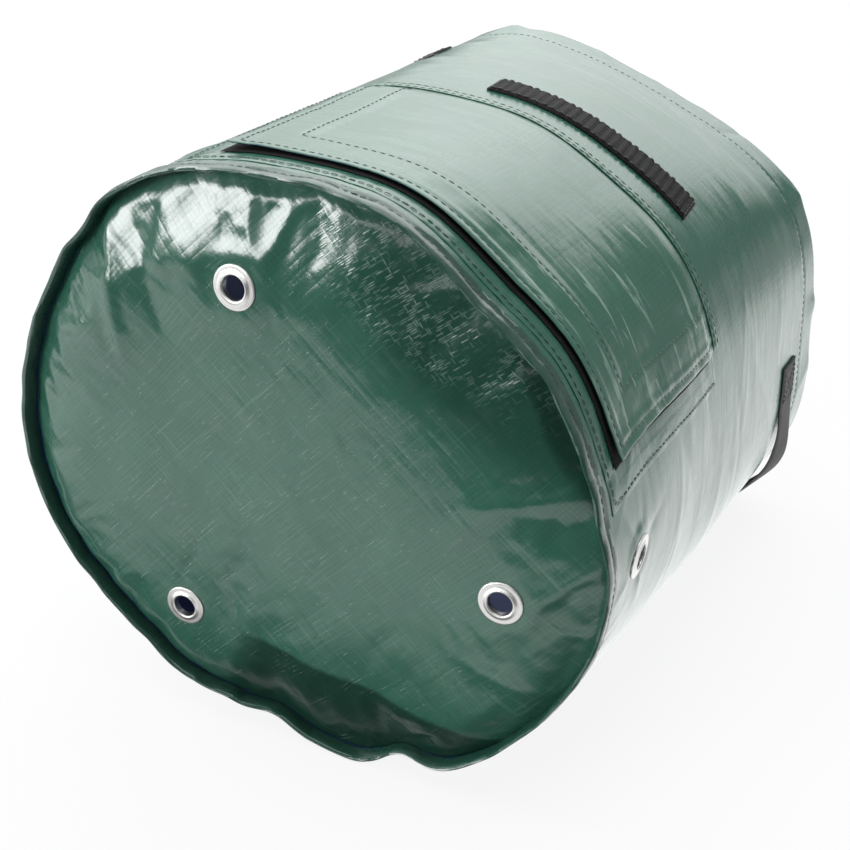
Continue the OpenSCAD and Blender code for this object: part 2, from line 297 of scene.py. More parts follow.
def make_field():
    """Radius of the wall's outer face over angle and height, with every fold."""
    phi, z = GRID_PHI, GRID_Z
    field = oval(phi, z)
    field += MM * bumps(phi, RIM_KINKS) * np.exp(-np.clip(z, 0, None) / 0.028)
    hem = smooth(0.322, 0.330, z)
    rimless = smooth(0.004, 0.020, z)
    calm = 1 - 0.65 * flap_mask(phi, z)
    # broad dents of a soft bag that isn't filled
    field += 0.0011 * noise(phi, z, 13, 0.085, 11) * smooth(0.0, 0.06, z)
    field += 0.0004 * noise(phi, z, 23, 0.045, 12) * smooth(0.0, 0.05, z) * (1 - 0.5 * hem)
    # folds that run round the wall
    band = noise(phi, z + 0.003 * noise(phi, z, 19, 0.06, 13), 15, 0.0135, 14)
    field += 0.00008 * np.sign(band) * np.abs(band) ** 0.8 * rimless * calm * (1 - hem)
    gain = rimless * calm * (1 - 0.8 * hem)
    for crease in CREASES:
        add_creases(field, gain, *crease)
    # folds that run up from the rim, then down from the mouth
    draw = np.random.RandomState(31)
    for _ in range(64):
        fold, length = upright_fold(draw, lengths=(0.012, 0.060), lean_spread=0.5,
                                    widths=(0.0018, 0.0050), height=0.0005, power=1.3,
                                    root=0.006)
        field += fold * smooth(length, 0.0, z) * smooth(-0.004, 0.006, z)
    for _ in range(40):
        fold, length = upright_fold(draw, lengths=(0.015, 0.050), lean_spread=0.4,
                                    widths=(0.004, 0.010), height=0.0012, power=1.5,
                                    root=HEIGHT)
        field += fold * smooth(HEIGHT - length, HEIGHT, z)
    # fine waviness of the lip, and the grooves under the rows of stitches
    field += 0.00045 * noise(phi, z, 85, 0.012, 15) * smooth(0.022, 0.004, z)
    field -= 0.00035 * np.exp(-((z - RIM_ROW_Z) / 0.0011) ** 2)
    field -= 0.00040 * np.exp(-((z - TOP_HEM_Z) / 0.0013) ** 2)
    pucker = noise(phi, z, 150, 0.02, 16)
    field += 0.00022 * pucker * np.exp(-((z - TOP_HEM_Z) / 0.006) ** 2)
    # each eyelet holds the cloth flat, with short folds running out of it
    for sign in (-1, 1):
        centre = float(turned(FRONT + sign * SIDE_EYE_A, SIDE_EYE_Z))
        turn, rise = wrap(phi - centre), z - SIDE_EYE_Z
        distance = np.hypot(turn * RADIUS, rise)
        near_cols = np.abs(wrap(FIELD_PHI - centre)) < 0.01
        level = field[near_cols][:, np.abs(FIELD_Z - SIDE_EYE_Z) < 0.002].mean()
        direction = np.arctan2(rise, turn * RADIUS)
        rays = sum(np.exp(-(np.abs(wrap(direction - ray)) / 0.16) ** 1.4) * strength
                   for ray, strength in EYELET_RAYS)
        field += 0.0008 * rays * smooth(0.006, 0.014, distance) * smooth(0.050, 0.012, distance)
        flat = smooth(0.018, 0.0105, distance)
        field = field * (1 - flat) + flat * (level / np.cos(np.clip(turn, -0.4, 0.4)))
    return field


FIELD = make_field()


def wall_r(phi, z):
    return catmull_rom(FIELD, (np.asarray(phi) % (2 * PI)) / (2 * PI) * FIELD_COLS,
                       (np.asarray(z) - FIELD_Z[0]) / FIELD_DZ)


def wall(thread, z, off=0.0):
    """Points off metres outside the wall's outer face, with their normals."""
    thread, z, off = np.broadcast_arrays(np.asarray(thread, float), np.asarray(z, float),
                                         np.asarray(off, float))
    phi = turned(thread, z)
    step = 0.0016
    r = wall_r(phi, z)
    turn = step / RADIUS
    slope_phi = (wall_r(phi + turn, z) - wall_r(phi - turn, z)) / (2 * step / RADIUS)
    slope_z = (wall_r(phi, z + step) - wall_r(phi, z - step)) / (2 * step)
    cos_p, sin_p = np.cos(phi), np.sin(phi)
    normal = np.stack([cos_p + slope_phi / r * sin_p, sin_p - slope_phi / r * cos_p, -slope_z], -1)
    normal /= np.linalg.norm(normal, axis=-1, keepdims=True)
    point = np.stack([r * cos_p, r * sin_p, z + lift(phi, z)], -1)
    return point + normal * off[..., None], normal


# ------------------------------------------------------------- mesh building
def grid_faces(cols, rows, keep=None):
    i, j = np.meshgrid(np.arange(cols - 1), np.arange(rows - 1), indexing="ij")
    corner = i * rows + j
    faces = np.stack([corner, corner + rows, corner + rows + 1, corner + 1], -1)
    if keep is not None:
        faces = faces[keep]
    return faces.reshape(-1, 4)


def int_lists(faces):
    return [list(map(int, face)) for face in faces]


def add_mesh(name, points, faces, uvs, face_materials, materials, sharp=42):
    """uvs are per point, in metres; sharp is the angle in degrees above which edges are hard."""
    mesh = bpy.data.meshes.new(name)
    mesh.from_pydata(np.asarray(points, float).tolist(), [], int_lists(faces))
    layer = mesh.uv_layers.new(name="cloth")
    corners = np.zeros(len(mesh.loops), np.int32)
    mesh.loops.foreach_get("vertex_index", corners)
    layer.data.foreach_set("uv", np.asarray(uvs, np.float32)[corners].ravel())
    for material in materials:
        mesh.materials.append(material)
    mesh.polygons.foreach_set("material_index", np.asarray(face_materials, np.int32))
    mesh.polygons.foreach_set("use_smooth", np.ones(len(faces), bool))
    mesh.update()
    mesh.validate()
    if sharp:
        mesh.set_sharp_from_angle(angle=radians(sharp))
    piece = bpy.data.objects.new(name, mesh)
    bpy.context.scene.collection.objects.link(piece)
    return piece


def sheet(name, outer, inner, faces, uvs, materials, sharp=42):
    """A closed solid from an outer and an inner face, walled round every open edge.

    A second material, if there is one, goes on the inner face.
    """
    outer = np.asarray(outer, float).reshape(-1, 3)
    inner = np.asarray(inner, float).reshape(-1, 3)
    uvs = np.asarray(uvs, float).reshape(-1, 2)
    faces = np.asarray(faces)
    count, sides = len(outer), faces.shape[1]
    edges = np.concatenate([faces[:, [k, (k + 1) % sides]] for k in range(sides)])
    key = np.sort(edges, 1)
    _, inverse, uses = np.unique(key[:, 0].astype(np.int64) * count + key[:, 1],
                                 return_inverse=True, return_counts=True)
    rim = edges[uses[inverse] == 1]
    side = np.stack([rim[:, 0], rim[:, 0] + count, rim[:, 1] + count, rim[:, 1]], -1)
    used = np.zeros(count, bool)
    used[faces.ravel()] = True
    new = np.cumsum(used) - 1
    remap = np.concatenate([new, new + int(used.sum())])
    all_faces = (list(remap[faces]) + list(remap[(faces + count)[:, ::-1]]) + list(remap[side]))
    inner_slot = 1 if len(materials) > 1 else 0
    slots = [0] * len(faces) + [inner_slot] * len(faces) + [0] * len(side)
    return add_mesh(name, np.concatenate([outer[used], inner[used]]), all_faces,
                    np.concatenate([uvs[used], uvs[used]]), slots, materials, sharp)


def punch(points, faces, holes, cut_r):
    """Cuts round holes: faces near each (point, axis) go, and the edge is pulled to a circle."""
    points, faces = np.array(points, float), np.asarray(faces)
    for centre, axis in holes:
        centre, axis = np.asarray(centre, float), np.asarray(axis, float)
        offset = points - centre
        height = offset @ axis
        distance = np.linalg.norm(offset - height[:, None] * axis, axis=1)
        near = (distance < cut_r) & (np.abs(height) < 0.02)
        cut = near[faces].any(1)
        if not cut.any():
            continue
        edge = np.unique(faces[cut])
        faces = faces[~cut]
        edge = edge[~near[edge]]
        spoke = points[edge] - centre
        height = spoke @ axis
        spoke = spoke - height[:, None] * axis
        spoke *= (PUNCHED_R / np.linalg.norm(spoke, axis=1))[:, None]
        points[edge] = centre + spoke + (height * 0.3)[:, None] * axis
    return points, faces


def strip(name, angles, heights, low, high, materials, round_edge=0.0, sharp=42, move=None,
          keep=None):
    """A closed strip that follows the wall between the offsets low and high.

    low and high are numbers or functions of angle and z; move shifts the finished points.
    """
    phi, z = np.meshgrid(angles, heights, indexing="ij")
    inner = low(phi, z) if callable(low) else np.full(phi.shape, low)
    outer = high(phi, z) if callable(high) else np.full(phi.shape, high)
    if round_edge:
        depth = np.ones(phi.shape)
        for run, axis in ((phi * RADIUS, 0), (z, 1)):
            from_end = np.minimum(np.abs(run - run.take([0], axis)),
                                  np.abs(run - run.take([-1], axis)))
            depth = np.minimum(depth, np.clip(from_end / round_edge, 0, 1))
        full = 0.30 + 0.70 * quarter_round(depth)
        middle = (inner + outer) / 2
        outer = middle + (outer - middle) * full
        inner = middle + (inner - middle) * full
    outer_points, _ = wall(phi, z, outer)
    inner_points, _ = wall(phi, z, inner)
    if move is not None:
        outer_points, inner_points = move(phi, z, outer_points), move(phi, z, inner_points)
    uvs = np.stack([(phi - FRONT) * RADIUS, z], -1)
    return sheet(name, outer_points, inner_points, grid_faces(len(angles), len(heights), keep),
                 uvs, materials, sharp)


def mount(piece, slot, *nodes, bend=None):
    """bend is (body, start, end) for a piece meant to bend from the bag to another body; such a piece only has its
    placement baked into its points, is attached to no body and is not bent.
    """
    if bend:
        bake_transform(piece)
    else:
        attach(piece, "bag")
    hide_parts(*nodes)


FLAP_BEND = ("flap", (0.0, HINGE[1], HINGE[2]), (0.0, HINGE[1], HINGE[2] - 0.085))

# a stitch is a short rounded bead
BEAD_RINGS, BEAD_SIDES = 6, 7
BEAD_W, BEAD_H = 0.00062, 0.00040
BEAD_SINK = 0.25                     # share of the half-height that lies in the cloth


def stitch_row(path, normals, seed, pitch, length):
    """Points and faces of evenly spaced beads along a path."""
    run = np.concatenate([[0], np.cumsum(np.linalg.norm(np.diff(path, axis=0), axis=1))])
    count = max(1, int(run[-1] / pitch))
    centres = (np.arange(count) + 0.5) * run[-1] / count

    def along(values, where):
        return np.stack([np.interp(where, run, values[:, i]) for i in range(3)], -1)
    middle = along(path, centres)
    tangent = along(path, centres + 0.0012) - along(path, centres - 0.0012)
    tangent /= np.linalg.norm(tangent, axis=1, keepdims=True)
    normal = along(normals, centres)
    normal -= tangent * (normal * tangent).sum(1, keepdims=True)
    normal /= np.linalg.norm(normal, axis=1, keepdims=True)
    across = np.cross(normal, tangent)

    draw = np.random.RandomState(seed)
    t = np.linspace(-1, 1, BEAD_RINGS)
    swell = np.sqrt(np.clip(1 - (t * 0.96) ** 4, 0, 1))
    lengths = length * (1 + draw.uniform(-0.10, 0.10, count))
    yaw = draw.normal(0, 0.06, count)
    points = np.zeros((count, BEAD_RINGS, BEAD_SIDES, 3))
    for i in range(BEAD_RINGS):
        x = t[i] * lengths / 2
        for k in range(BEAD_SIDES):
            angle = k / BEAD_SIDES * 2 * PI
            y = math.cos(angle) * BEAD_W / 2 * swell[i]
            z = (math.sin(angle) * BEAD_H / 2 * swell[i] + BEAD_H / 2 * (1 - BEAD_SINK)
                 - BEAD_H * 0.9 * t[i] ** 4)
            points[:, i, k] = (middle + tangent * x[:, None]
                               + across * (y + x * yaw)[:, None] + normal * z)
    bead = []
    for i in range(0, (BEAD_RINGS - 1) * BEAD_SIDES, BEAD_SIDES):
        for k in range(BEAD_SIDES):
            after = (k + 1) % BEAD_SIDES
            bead.append([i + k, i + BEAD_SIDES + k, i + BEAD_SIDES + after, i + after])
    last = (BEAD_RINGS - 1) * BEAD_SIDES
    bead += [list(range(BEAD_SIDES)), [last + k for k in range(BEAD_SIDES)][::-1]]
    starts = range(0, count * BEAD_RINGS * BEAD_SIDES, BEAD_RINGS * BEAD_SIDES)
    faces = [[start + corner for corner in face] for start in starts for face in bead]
    return points.reshape(-1, 3), faces


def sew(node, rows, black=False, bend=None, pitch=0.0042, length=0.0033):
    """One piece of stitching; each row is (angle, z, offset from the wall, seed)."""
    points, faces, total = [], [], 0
    for angle, z, off, seed in rows:
        row_points, row_faces = stitch_row(*wall(angle, z, off), seed, pitch, length)
        faces += [[corner + total for corner in face] for face in row_faces]
        points.append(row_points)
        total += len(row_points)
    points = np.concatenate(points)
    piece = add_mesh(node + "_soft", points, faces, points[:, [0, 2]], [0] * len(faces),
                     [BLACK_THREAD if black else GREEN_THREAD], sharp=None)
    mount(piece, "thread_black" if black else "thread", node, bend=bend)


# ------------------------------------------------------------------ shader nets
class Value:
    """An output in a shader net; arithmetic on it adds Math nodes."""

    def __init__(self, net, socket):
        self.net, self.socket = net, socket

    def floor(self):
        return self.net.math("FLOOR", self)

    def sine(self):
        return self.net.math("SINE", self)

    def ramp(self, start, end):
        """0 at start and 1 at end, eased; start may be the larger."""
        return self.net.out("ShaderNodeMapRange", "Result",
                            {"Value": self, "From Min": start, "From Max": end},
                            interpolation_type="SMOOTHSTEP")


for word, operation in (("add", "ADD"), ("sub", "SUBTRACT"), ("mul", "MULTIPLY"),
                        ("truediv", "DIVIDE"), ("mod", "FLOORED_MODULO"), ("pow", "POWER")):
    setattr(Value, f"__{word}__",
            lambda this, other, kind=operation: this.net.math(kind, this, other))
    setattr(Value, f"__r{word}__",
            lambda this, other, kind=operation: this.net.math(kind, other, this))


class Net:
    """Builds the node tree of a material or of the world."""

    def __init__(self, tree):
        self.tree = tree
        tree.nodes.clear()

    def new(self, kind, inputs=None, **properties):
        """Adds a node; inputs maps socket names or numbers to values or outputs."""
        node = self.tree.nodes.new(kind)
        for key, value in properties.items():
            setattr(node, key, value)
        for key, value in (inputs or {}).items():
            socket = node.inputs[key]
            if isinstance(value, Value):
                value = value.socket
            if isinstance(value, bpy.types.NodeSocket):
                self.tree.links.new(value, socket)
            elif isinstance(value, tuple) and socket.type == "RGBA":
                socket.default_value = (*value, 1.0)
            else:
                socket.default_value = value
        return node

    def out(self, kind, output, inputs=None, **properties):
        """Adds a node and returns one of its outputs."""
        return Value(self, self.new(kind, inputs, **properties).outputs[output])

    def math(self, operation, *values, clamp=False):
        return self.out("ShaderNodeMath", 0, dict(enumerate(values)), operation=operation,
                        use_clamp=clamp)

    def vec(self, x, y, z=0.0):
        return self.out("ShaderNodeCombineXYZ", 0, {0: x, 1: y, 2: z})

    def dot(self, vector, axis):
        return self.out("ShaderNodeVectorMath", "Value", {0: vector, 1: tuple(axis)},
                        operation="DOT_PRODUCT")

    def noise(self, vector, scale=1.0, detail=2.0, rough=0.5, warp=0.0, dims="2D"):
        return self.out("ShaderNodeTexNoise", "Fac",
                        {"Vector": vector, "Scale": scale, "Detail": detail,
                         "Roughness": rough, "Distortion": warp}, noise_dimensions=dims)

    def mix_color(self, factor, first, second):
        return self.out("ShaderNodeMix", 2, {0: factor, 6: first, 7: second}, data_type="RGBA")

    def mix(self, factor, first, second):
        return self.out("ShaderNodeMix", 0, {0: factor, 2: first, 3: second},
                        data_type="FLOAT")

    def uv(self):
        """The cloth's own coordinates, in metres."""
        node = self.new("ShaderNodeSeparateXYZ",
                        {0: self.out("ShaderNodeUVMap", 0, uv_map="cloth")})
        return Value(self, node.outputs[0]), Value(self, node.outputs[1])

    def surface(self, color, rough, height, spec=0.5, metallic=0.0, sheen=0.0):
        """Ends a material: height is in metres and works as a bump."""
        normal = self.out("ShaderNodeBump", 0,
                          {"Strength": 1.0, "Distance": 1.0, "Height": height})
        shader = self.out("ShaderNodeBsdfPrincipled", 0, {
            "Base Color": color, "Roughness": rough, "Specular IOR Level": spec, "IOR": 1.5,
            "Metallic": metallic, "Sheen Weight": sheen, "Coat Weight": 0.0,
            "Coat Roughness": 0.1, "Normal": normal})
        self.new("ShaderNodeOutputMaterial", {0: shader})


def new_material(name):
    material = bpy.data.materials.new(name)
    material.use_nodes = True
    return material, Net(material.node_tree)


def rotated(u, v, degrees):
    cos_t, sin_t = math.cos(radians(degrees)), math.sin(radians(degrees))
    return u * cos_t + v * sin_t, v * cos_t - u * sin_t


# ------------------------------------------------------------------ materials
def tarp(name, deep, light, turn=0.0, gloss=0.17, pitch=0.0028, weave=0.000014, tilt_u=0.012,
         tilt_v=0.022, crinkle=1.0, spec=0.5, rubbed=0.05, details=None):
    """Laminated woven cloth: flat tapes crossing at right angles under a glossy film.

    turn is the weave's angle in degrees, gloss the lowest roughness, pitch the width of a tape,
    weave its height, tilt_u and tilt_v the slopes of the tapes, rubbed how pale the worn lines
    are. details returns masks for painted shade and painted highlight, and an extra height.
    """
    material, net = new_material(name)
    raw_u, raw_v = net.uv()
    u, v = rotated(raw_u, raw_v, turn)
    # the tapes wander a little
    wander = 0.0016
    across_u = (u + net.noise(net.vec(u, v), scale=14.0, detail=1.0) * wander) / pitch
    across_v = (v + net.noise(net.vec(v, u), scale=13.0, detail=1.0) * wander) / pitch
    tape_u, tape_v = across_u.floor(), across_v.floor()
    part_u, part_v = across_u - tape_u, across_v - tape_v
    arch_u, arch_v = (part_u * PI).sine(), (part_v * PI).sine()
    flat_u, flat_v = arch_u ** 0.35, arch_v ** 0.35
    over = (tape_u + tape_v) % 2.0
    woven = net.mix(over, flat_u * arch_v, arch_u * flat_v)
    # every tape lies at its own slight tilt, which changes slowly along it
    apart, slow = 7.31, 30.0
    lean_u = net.noise(net.vec(tape_u * apart, v * slow), detail=1.0)
    lean_v = net.noise(net.vec(u * slow, tape_v * apart), detail=1.0)
    tilted_u = (lean_u - 0.5) * ((part_u - 0.5) * (pitch * tilt_u * 4))
    tilted_v = (lean_v - 0.5) * ((part_v - 0.5) * (pitch * tilt_v * 4))
    # heights: crumples, fine streaks along both runs, grain of the film
    cloth = net.vec(u, v)
    crumple = net.noise(cloth, scale=38.0, detail=3.0, rough=0.55, warp=0.6) * (0.00013 * crinkle)
    streak_u = net.noise(net.vec(u * 12.0, v * 130.0)) * (0.000016 * crinkle)
    streak_v = net.noise(net.vec(u * 120.0, v * 14.0)) * (0.000018 * crinkle)
    film = net.noise(cloth, scale=900.0) * 0.000012
    height = woven * weave
    for part in (tilted_u, tilted_v, crumple, streak_u, streak_v, film):
        height = height + part
    dark = pale = None
    if details is not None:
        dark, pale, more = details(net, raw_u, raw_v)
        height = height + more
    # colour: slight blotches, darker between the tapes, a few scuffs
    blotch = net.noise(cloth, scale=22.0, detail=4.0, rough=0.6)
    grain = net.noise(cloth, scale=420.0)
    shade = net.math("ADD", blotch * 0.55 + grain * 0.25, woven * 0.22, clamp=True)
    color = net.mix_color(shade, deep, light)
    scuff = net.noise(net.vec(u * 3.0, v), scale=160.0, detail=5.0, rough=0.75).ramp(0.70, 0.80)
    color = net.mix_color(scuff * 0.10, color, (0.30, 0.38, 0.34))
    # pale rubbed lines along both runs of the weave
    line_u = net.noise(net.vec(u * 26.0, v * 700.0)).ramp(0.58, 0.74)
    line_v = net.noise(net.vec(u * 700.0, v * 26.0)).ramp(0.58, 0.74)
    rub = net.math("MAXIMUM", line_u, line_v) * net.noise(cloth, scale=30.0).ramp(0.30, 0.65)
    color = net.mix_color(rub * rubbed, color, (0.20, 0.32, 0.265))
    # painted shade: where the details mark it, the colour darkens towards a shadow tone and the reflection weakens
    if dark is not None:
        shadow = (0.20 * deep[0], 0.26 * deep[1], 0.25 * deep[2])
        color = net.mix_color(dark, color, shadow)
        spec = spec * (1.0 - dark * 0.65)
    # painted highlight: where the details mark glints and crests, the colour turns pale
    if pale is not None:
        color = net.mix_color(pale, color, (0.34, 0.46, 0.42))
    rough = gloss + net.noise(cloth, scale=60.0, detail=4.0, rough=0.65) * 0.10
    rough = net.math("ADD", rough, scuff * 0.14, clamp=True)
    net.surface(color, rough, height, spec=spec)
    return material


def patch(net, u, v, centre, size, turn, soft, rag):
    """1 inside an ellipse on the cloth, falling to 0 with a ragged edge (mm, degrees)."""
    along, across = rotated(u - centre[0] * MM, v - centre[1] * MM, turn)
    along, across = along / (size[0] * MM), across / (size[1] * MM)
    distance = net.math("SQRT", along * along + across * across)
    ragged = net.noise(net.vec(u, v), scale=45.0, detail=3.0) - 0.5
    return (distance + ragged * (rag * 2)).ramp(1.0 + soft / 2, 1.0 - soft / 2)


def cell_random(net, x, y, z):
    """Random number in -0.5..0.5 for each cell."""
    return net.out("ShaderNodeTexWhiteNoise", "Value", {"Vector": net.vec(x, y, z)},
                   noise_dimensions="3D") - 0.5


# painted glints on the tapes of the base, as pale dashes with a small bump: direction in degrees,
# seed, length, width, random value above which a dash shows
DASHES = ((22.0, 1.0, 0.0036, 0.00105, 0.29), (114.0, 5.0, 0.0044, 0.00095, 0.02))


def base_painted_glints_and_shade(net, u, v):
    """Painted glints: pale dashes with a small bump on the tapes beside the seam under the flap. Painted shade: a
    wedge and a broad patch there, and a crescent by the rim on the floor's side.
    """
    glint = patch(net, u, v, centre=(6, -121), size=(58, 21), turn=2, soft=0.7, rag=0.40)
    glint = glint * net.noise(net.vec(u, v), scale=70.0, detail=3.0).ramp(0.30, 0.62)
    height, pale = 0.0, 0.0
    for turn, seed, length, width, rarity in DASHES:
        along, across = rotated(u, v, turn)
        across = across / width
        row = across.floor()
        stagger = 1.0
        along = along / length + cell_random(net, row, 0.0, seed) * stagger
        cell = along.floor()
        shown = cell_random(net, cell, row, seed + 1.0).ramp(rarity, rarity + 0.20)
        arch_along = ((along - cell) * PI).sine()
        arch_across = ((across - row) * PI).sine()
        dash = shown * (arch_along ** 0.6 * (arch_across * arch_across))
        height = dash * 0.000060 + height
        # painted glint: each dash turns the colour pale
        pale = net.math("MAXIMUM", dash * 0.24, pale)
    # painted shade: the wedge, the crescent along the rim (fold) and the broad patch darken the colour and weaken
    # the reflection
    wedge = patch(net, u, v, centre=(78, -121), size=(44, 14), turn=34, soft=0.8, rag=0.12)
    slant = u * 0.353 + v * 0.935
    fold = slant.ramp(0.0895, 0.0935) * u.ramp(0.006, 0.030)
    dark = net.math("MAXIMUM", wedge * 0.85, fold * 0.80)
    broad = patch(net, u, v, centre=(34, -114), size=(66, 26), turn=14, soft=0.9, rag=0.1)
    dark = net.math("MAXIMUM", dark, broad * 0.55)
    return dark, pale * glint, height * glint


def flap_painted_crease_highlights(net, u, v):
    """A few sharp creases run round the +X side of the flap, with a painted highlight and a small ridge along
    their crests.
    """
    run = net.noise(net.vec(u * 22.0, v * 170.0), detail=3.0, rough=0.6, warp=0.4)
    zone = u.ramp(0.000, 0.050) * net.noise(net.vec(u, v), scale=24.0).ramp(0.35, 0.60)
    line = run.ramp(0.61, 0.66) * zone
    return None, line * 0.35, line * 0.00016


def webbing(name, deep, light):
    """Woven ribs in staggered rows, slightly fuzzy."""
    material, net = new_material(name)
    u, v = net.uv()
    rib = 0.0016
    ribs, rows = u / rib, v / (rib * 0.8)
    row = rows.floor()
    ribs = ribs + (row % 2.0) * 0.5
    part_rib = ribs - ribs.floor()
    part_row = rows - row
    woven = (part_rib * PI).sine() * (part_row * PI).sine()
    fuzz = net.noise(net.vec(u, v), scale=2400.0)
    height = woven * 0.00018 + fuzz * 0.00003
    shade = (woven + net.noise(net.vec(u, v), scale=180.0, detail=3.0)) * 0.5
    net.surface(net.mix_color(shade, deep, light), 0.55 + fuzz * 0.2, height, spec=0.35,
                sheen=0.06)
    return material


def pile(name, deep, light, depth=0.00022):
    """Loop tape: a dense matt pile, depth high."""
    material, net = new_material(name)
    u, v = net.uv()
    fine = net.noise(net.vec(u, v), scale=1500.0, detail=3.0, rough=0.7)
    broad = net.noise(net.vec(u, v), scale=120.0, detail=3.0, rough=0.6)
    net.surface(net.mix_color(fine.ramp(0.35, 0.7), deep, light), 0.8 + broad * 0.15,
                fine * depth + broad * depth, spec=0.10)
    return material


def hooks(name, deep, light, pitch_u=0.0013, pitch_v=0.0016):
    """Hook tape: fine rows of hooks at these pitches."""
    material, net = new_material(name)
    u, v = net.uv()
    cols, rows = u / pitch_u, v / pitch_v
    hook = (net.math("ABSOLUTE", (cols * PI).sine())
            * net.math("ABSOLUTE", (rows * PI).sine()))
    grain = net.noise(net.vec(u, v), scale=700.0, detail=3.0, rough=0.7)
    shade = hook * 0.55 + grain * 0.45
    net.surface(net.mix_color(shade, deep, light), 0.55 + grain * 0.25,
                hook * 0.00030 + grain * 0.00012, spec=0.12)
    return material


def metal(name):
    """Dull aluminium with a soft unevenness and darker pits."""
    material, net = new_material(name)
    place = net.out("ShaderNodeTexCoord", "Object")
    uneven = net.noise(place, scale=260.0, detail=4.0, rough=0.6, dims="3D")
    grain = net.noise(place, scale=1800.0, detail=3.0, rough=0.6, dims="3D")
    pits = net.noise(place, scale=700.0, detail=4.0, rough=0.7, dims="3D").ramp(0.68, 0.78)
    color = net.mix_color(uneven, (0.42, 0.42, 0.41), (0.56, 0.56, 0.55))
    color = net.mix_color(pits * 0.35, color, (0.35, 0.35, 0.34))
    net.surface(color, 0.26 + uneven * 0.20, uneven * 0.00009 + grain * 0.000012, metallic=1.0)
    return material


def thread(name, deep, light):
    """Twisted thread: diagonal bands."""
    material, net = new_material(name)
    place = net.out("ShaderNodeTexCoord", "Object")
    twist = net.out("ShaderNodeTexWave", "Fac",
                    {"Vector": place, "Scale": 900.0, "Distortion": 1.5},
                    wave_type="BANDS", bands_direction="DIAGONAL")
    blotch = net.noise(place, scale=260.0, detail=3.0, rough=0.6, dims="3D")
    net.surface(net.mix_color(twist * 0.4 + blotch * 0.6, deep, light), 0.38, twist * 0.00005)
    return material


GREEN_DEEP, GREEN_LIGHT = (0.0150, 0.0680, 0.0470), (0.0290, 0.1080, 0.0750)
WALL_TARP = tarp("tarp_wall", GREEN_DEEP, GREEN_LIGHT)
BASE_TARP = tarp("tarp_base", (0.0105, 0.0500, 0.0345), (0.0210, 0.0820, 0.0560), turn=15,
                 gloss=0.14, pitch=0.0021, weave=0.000015, tilt_u=0.040, tilt_v=0.040,
                 crinkle=0.9, rubbed=0.07, details=base_painted_glints_and_shade)
FLAP_TARP = tarp("tarp_flap", GREEN_DEEP, (0.0300, 0.1120, 0.0760), tilt_v=0.026, crinkle=0.7,
                 details=flap_painted_crease_highlights)
RIM_TARP = tarp("tarp_rim", GREEN_DEEP, GREEN_LIGHT, gloss=0.16, crinkle=1.5)
# a darker copy of the wall's green tarp: painted shade along the lip of the base
BINDING_TARP = tarp("tarp_binding", (0.0070, 0.0330, 0.0230), (0.0150, 0.0600, 0.0420),
                    gloss=0.20, crinkle=1.5)
INSIDE_TARP = tarp("tarp_inside", (0.008, 0.020, 0.085), (0.022, 0.050, 0.180), gloss=0.50,
                   crinkle=1.3, spec=0.10, rubbed=0.0)
WEBBING = webbing("webbing_black", (0.004, 0.004, 0.004), (0.017, 0.017, 0.018))
HOOK_TAPE = hooks("hook_tape_black", (0.003, 0.003, 0.003), (0.012, 0.012, 0.012))
LOOP_TAPE = pile("loop_tape_black", (0.003, 0.003, 0.003), (0.018, 0.018, 0.019))
ALUMINIUM = metal("eyelet_aluminium")
GREEN_THREAD = thread("thread_green", (0.004, 0.016, 0.011), (0.020, 0.075, 0.052))
BLACK_THREAD = thread("thread_black", (0.006, 0.006, 0.006), (0.035, 0.035, 0.036))


# ----------------------------------------------------------------- wall panel
def window_cells(phi, z):
    """Marks the cells of a grid that lie in the window."""
    mid_phi = (phi[:-1, :-1] + phi[1:, 1:]) / 2
    mid_z = (z[:-1, :-1] + z[1:, 1:]) / 2
    return (np.abs(wrap(mid_phi - FRONT)) < WINDOW_A) & (mid_z > WINDOW_Z0) & (mid_z < WINDOW_Z1)


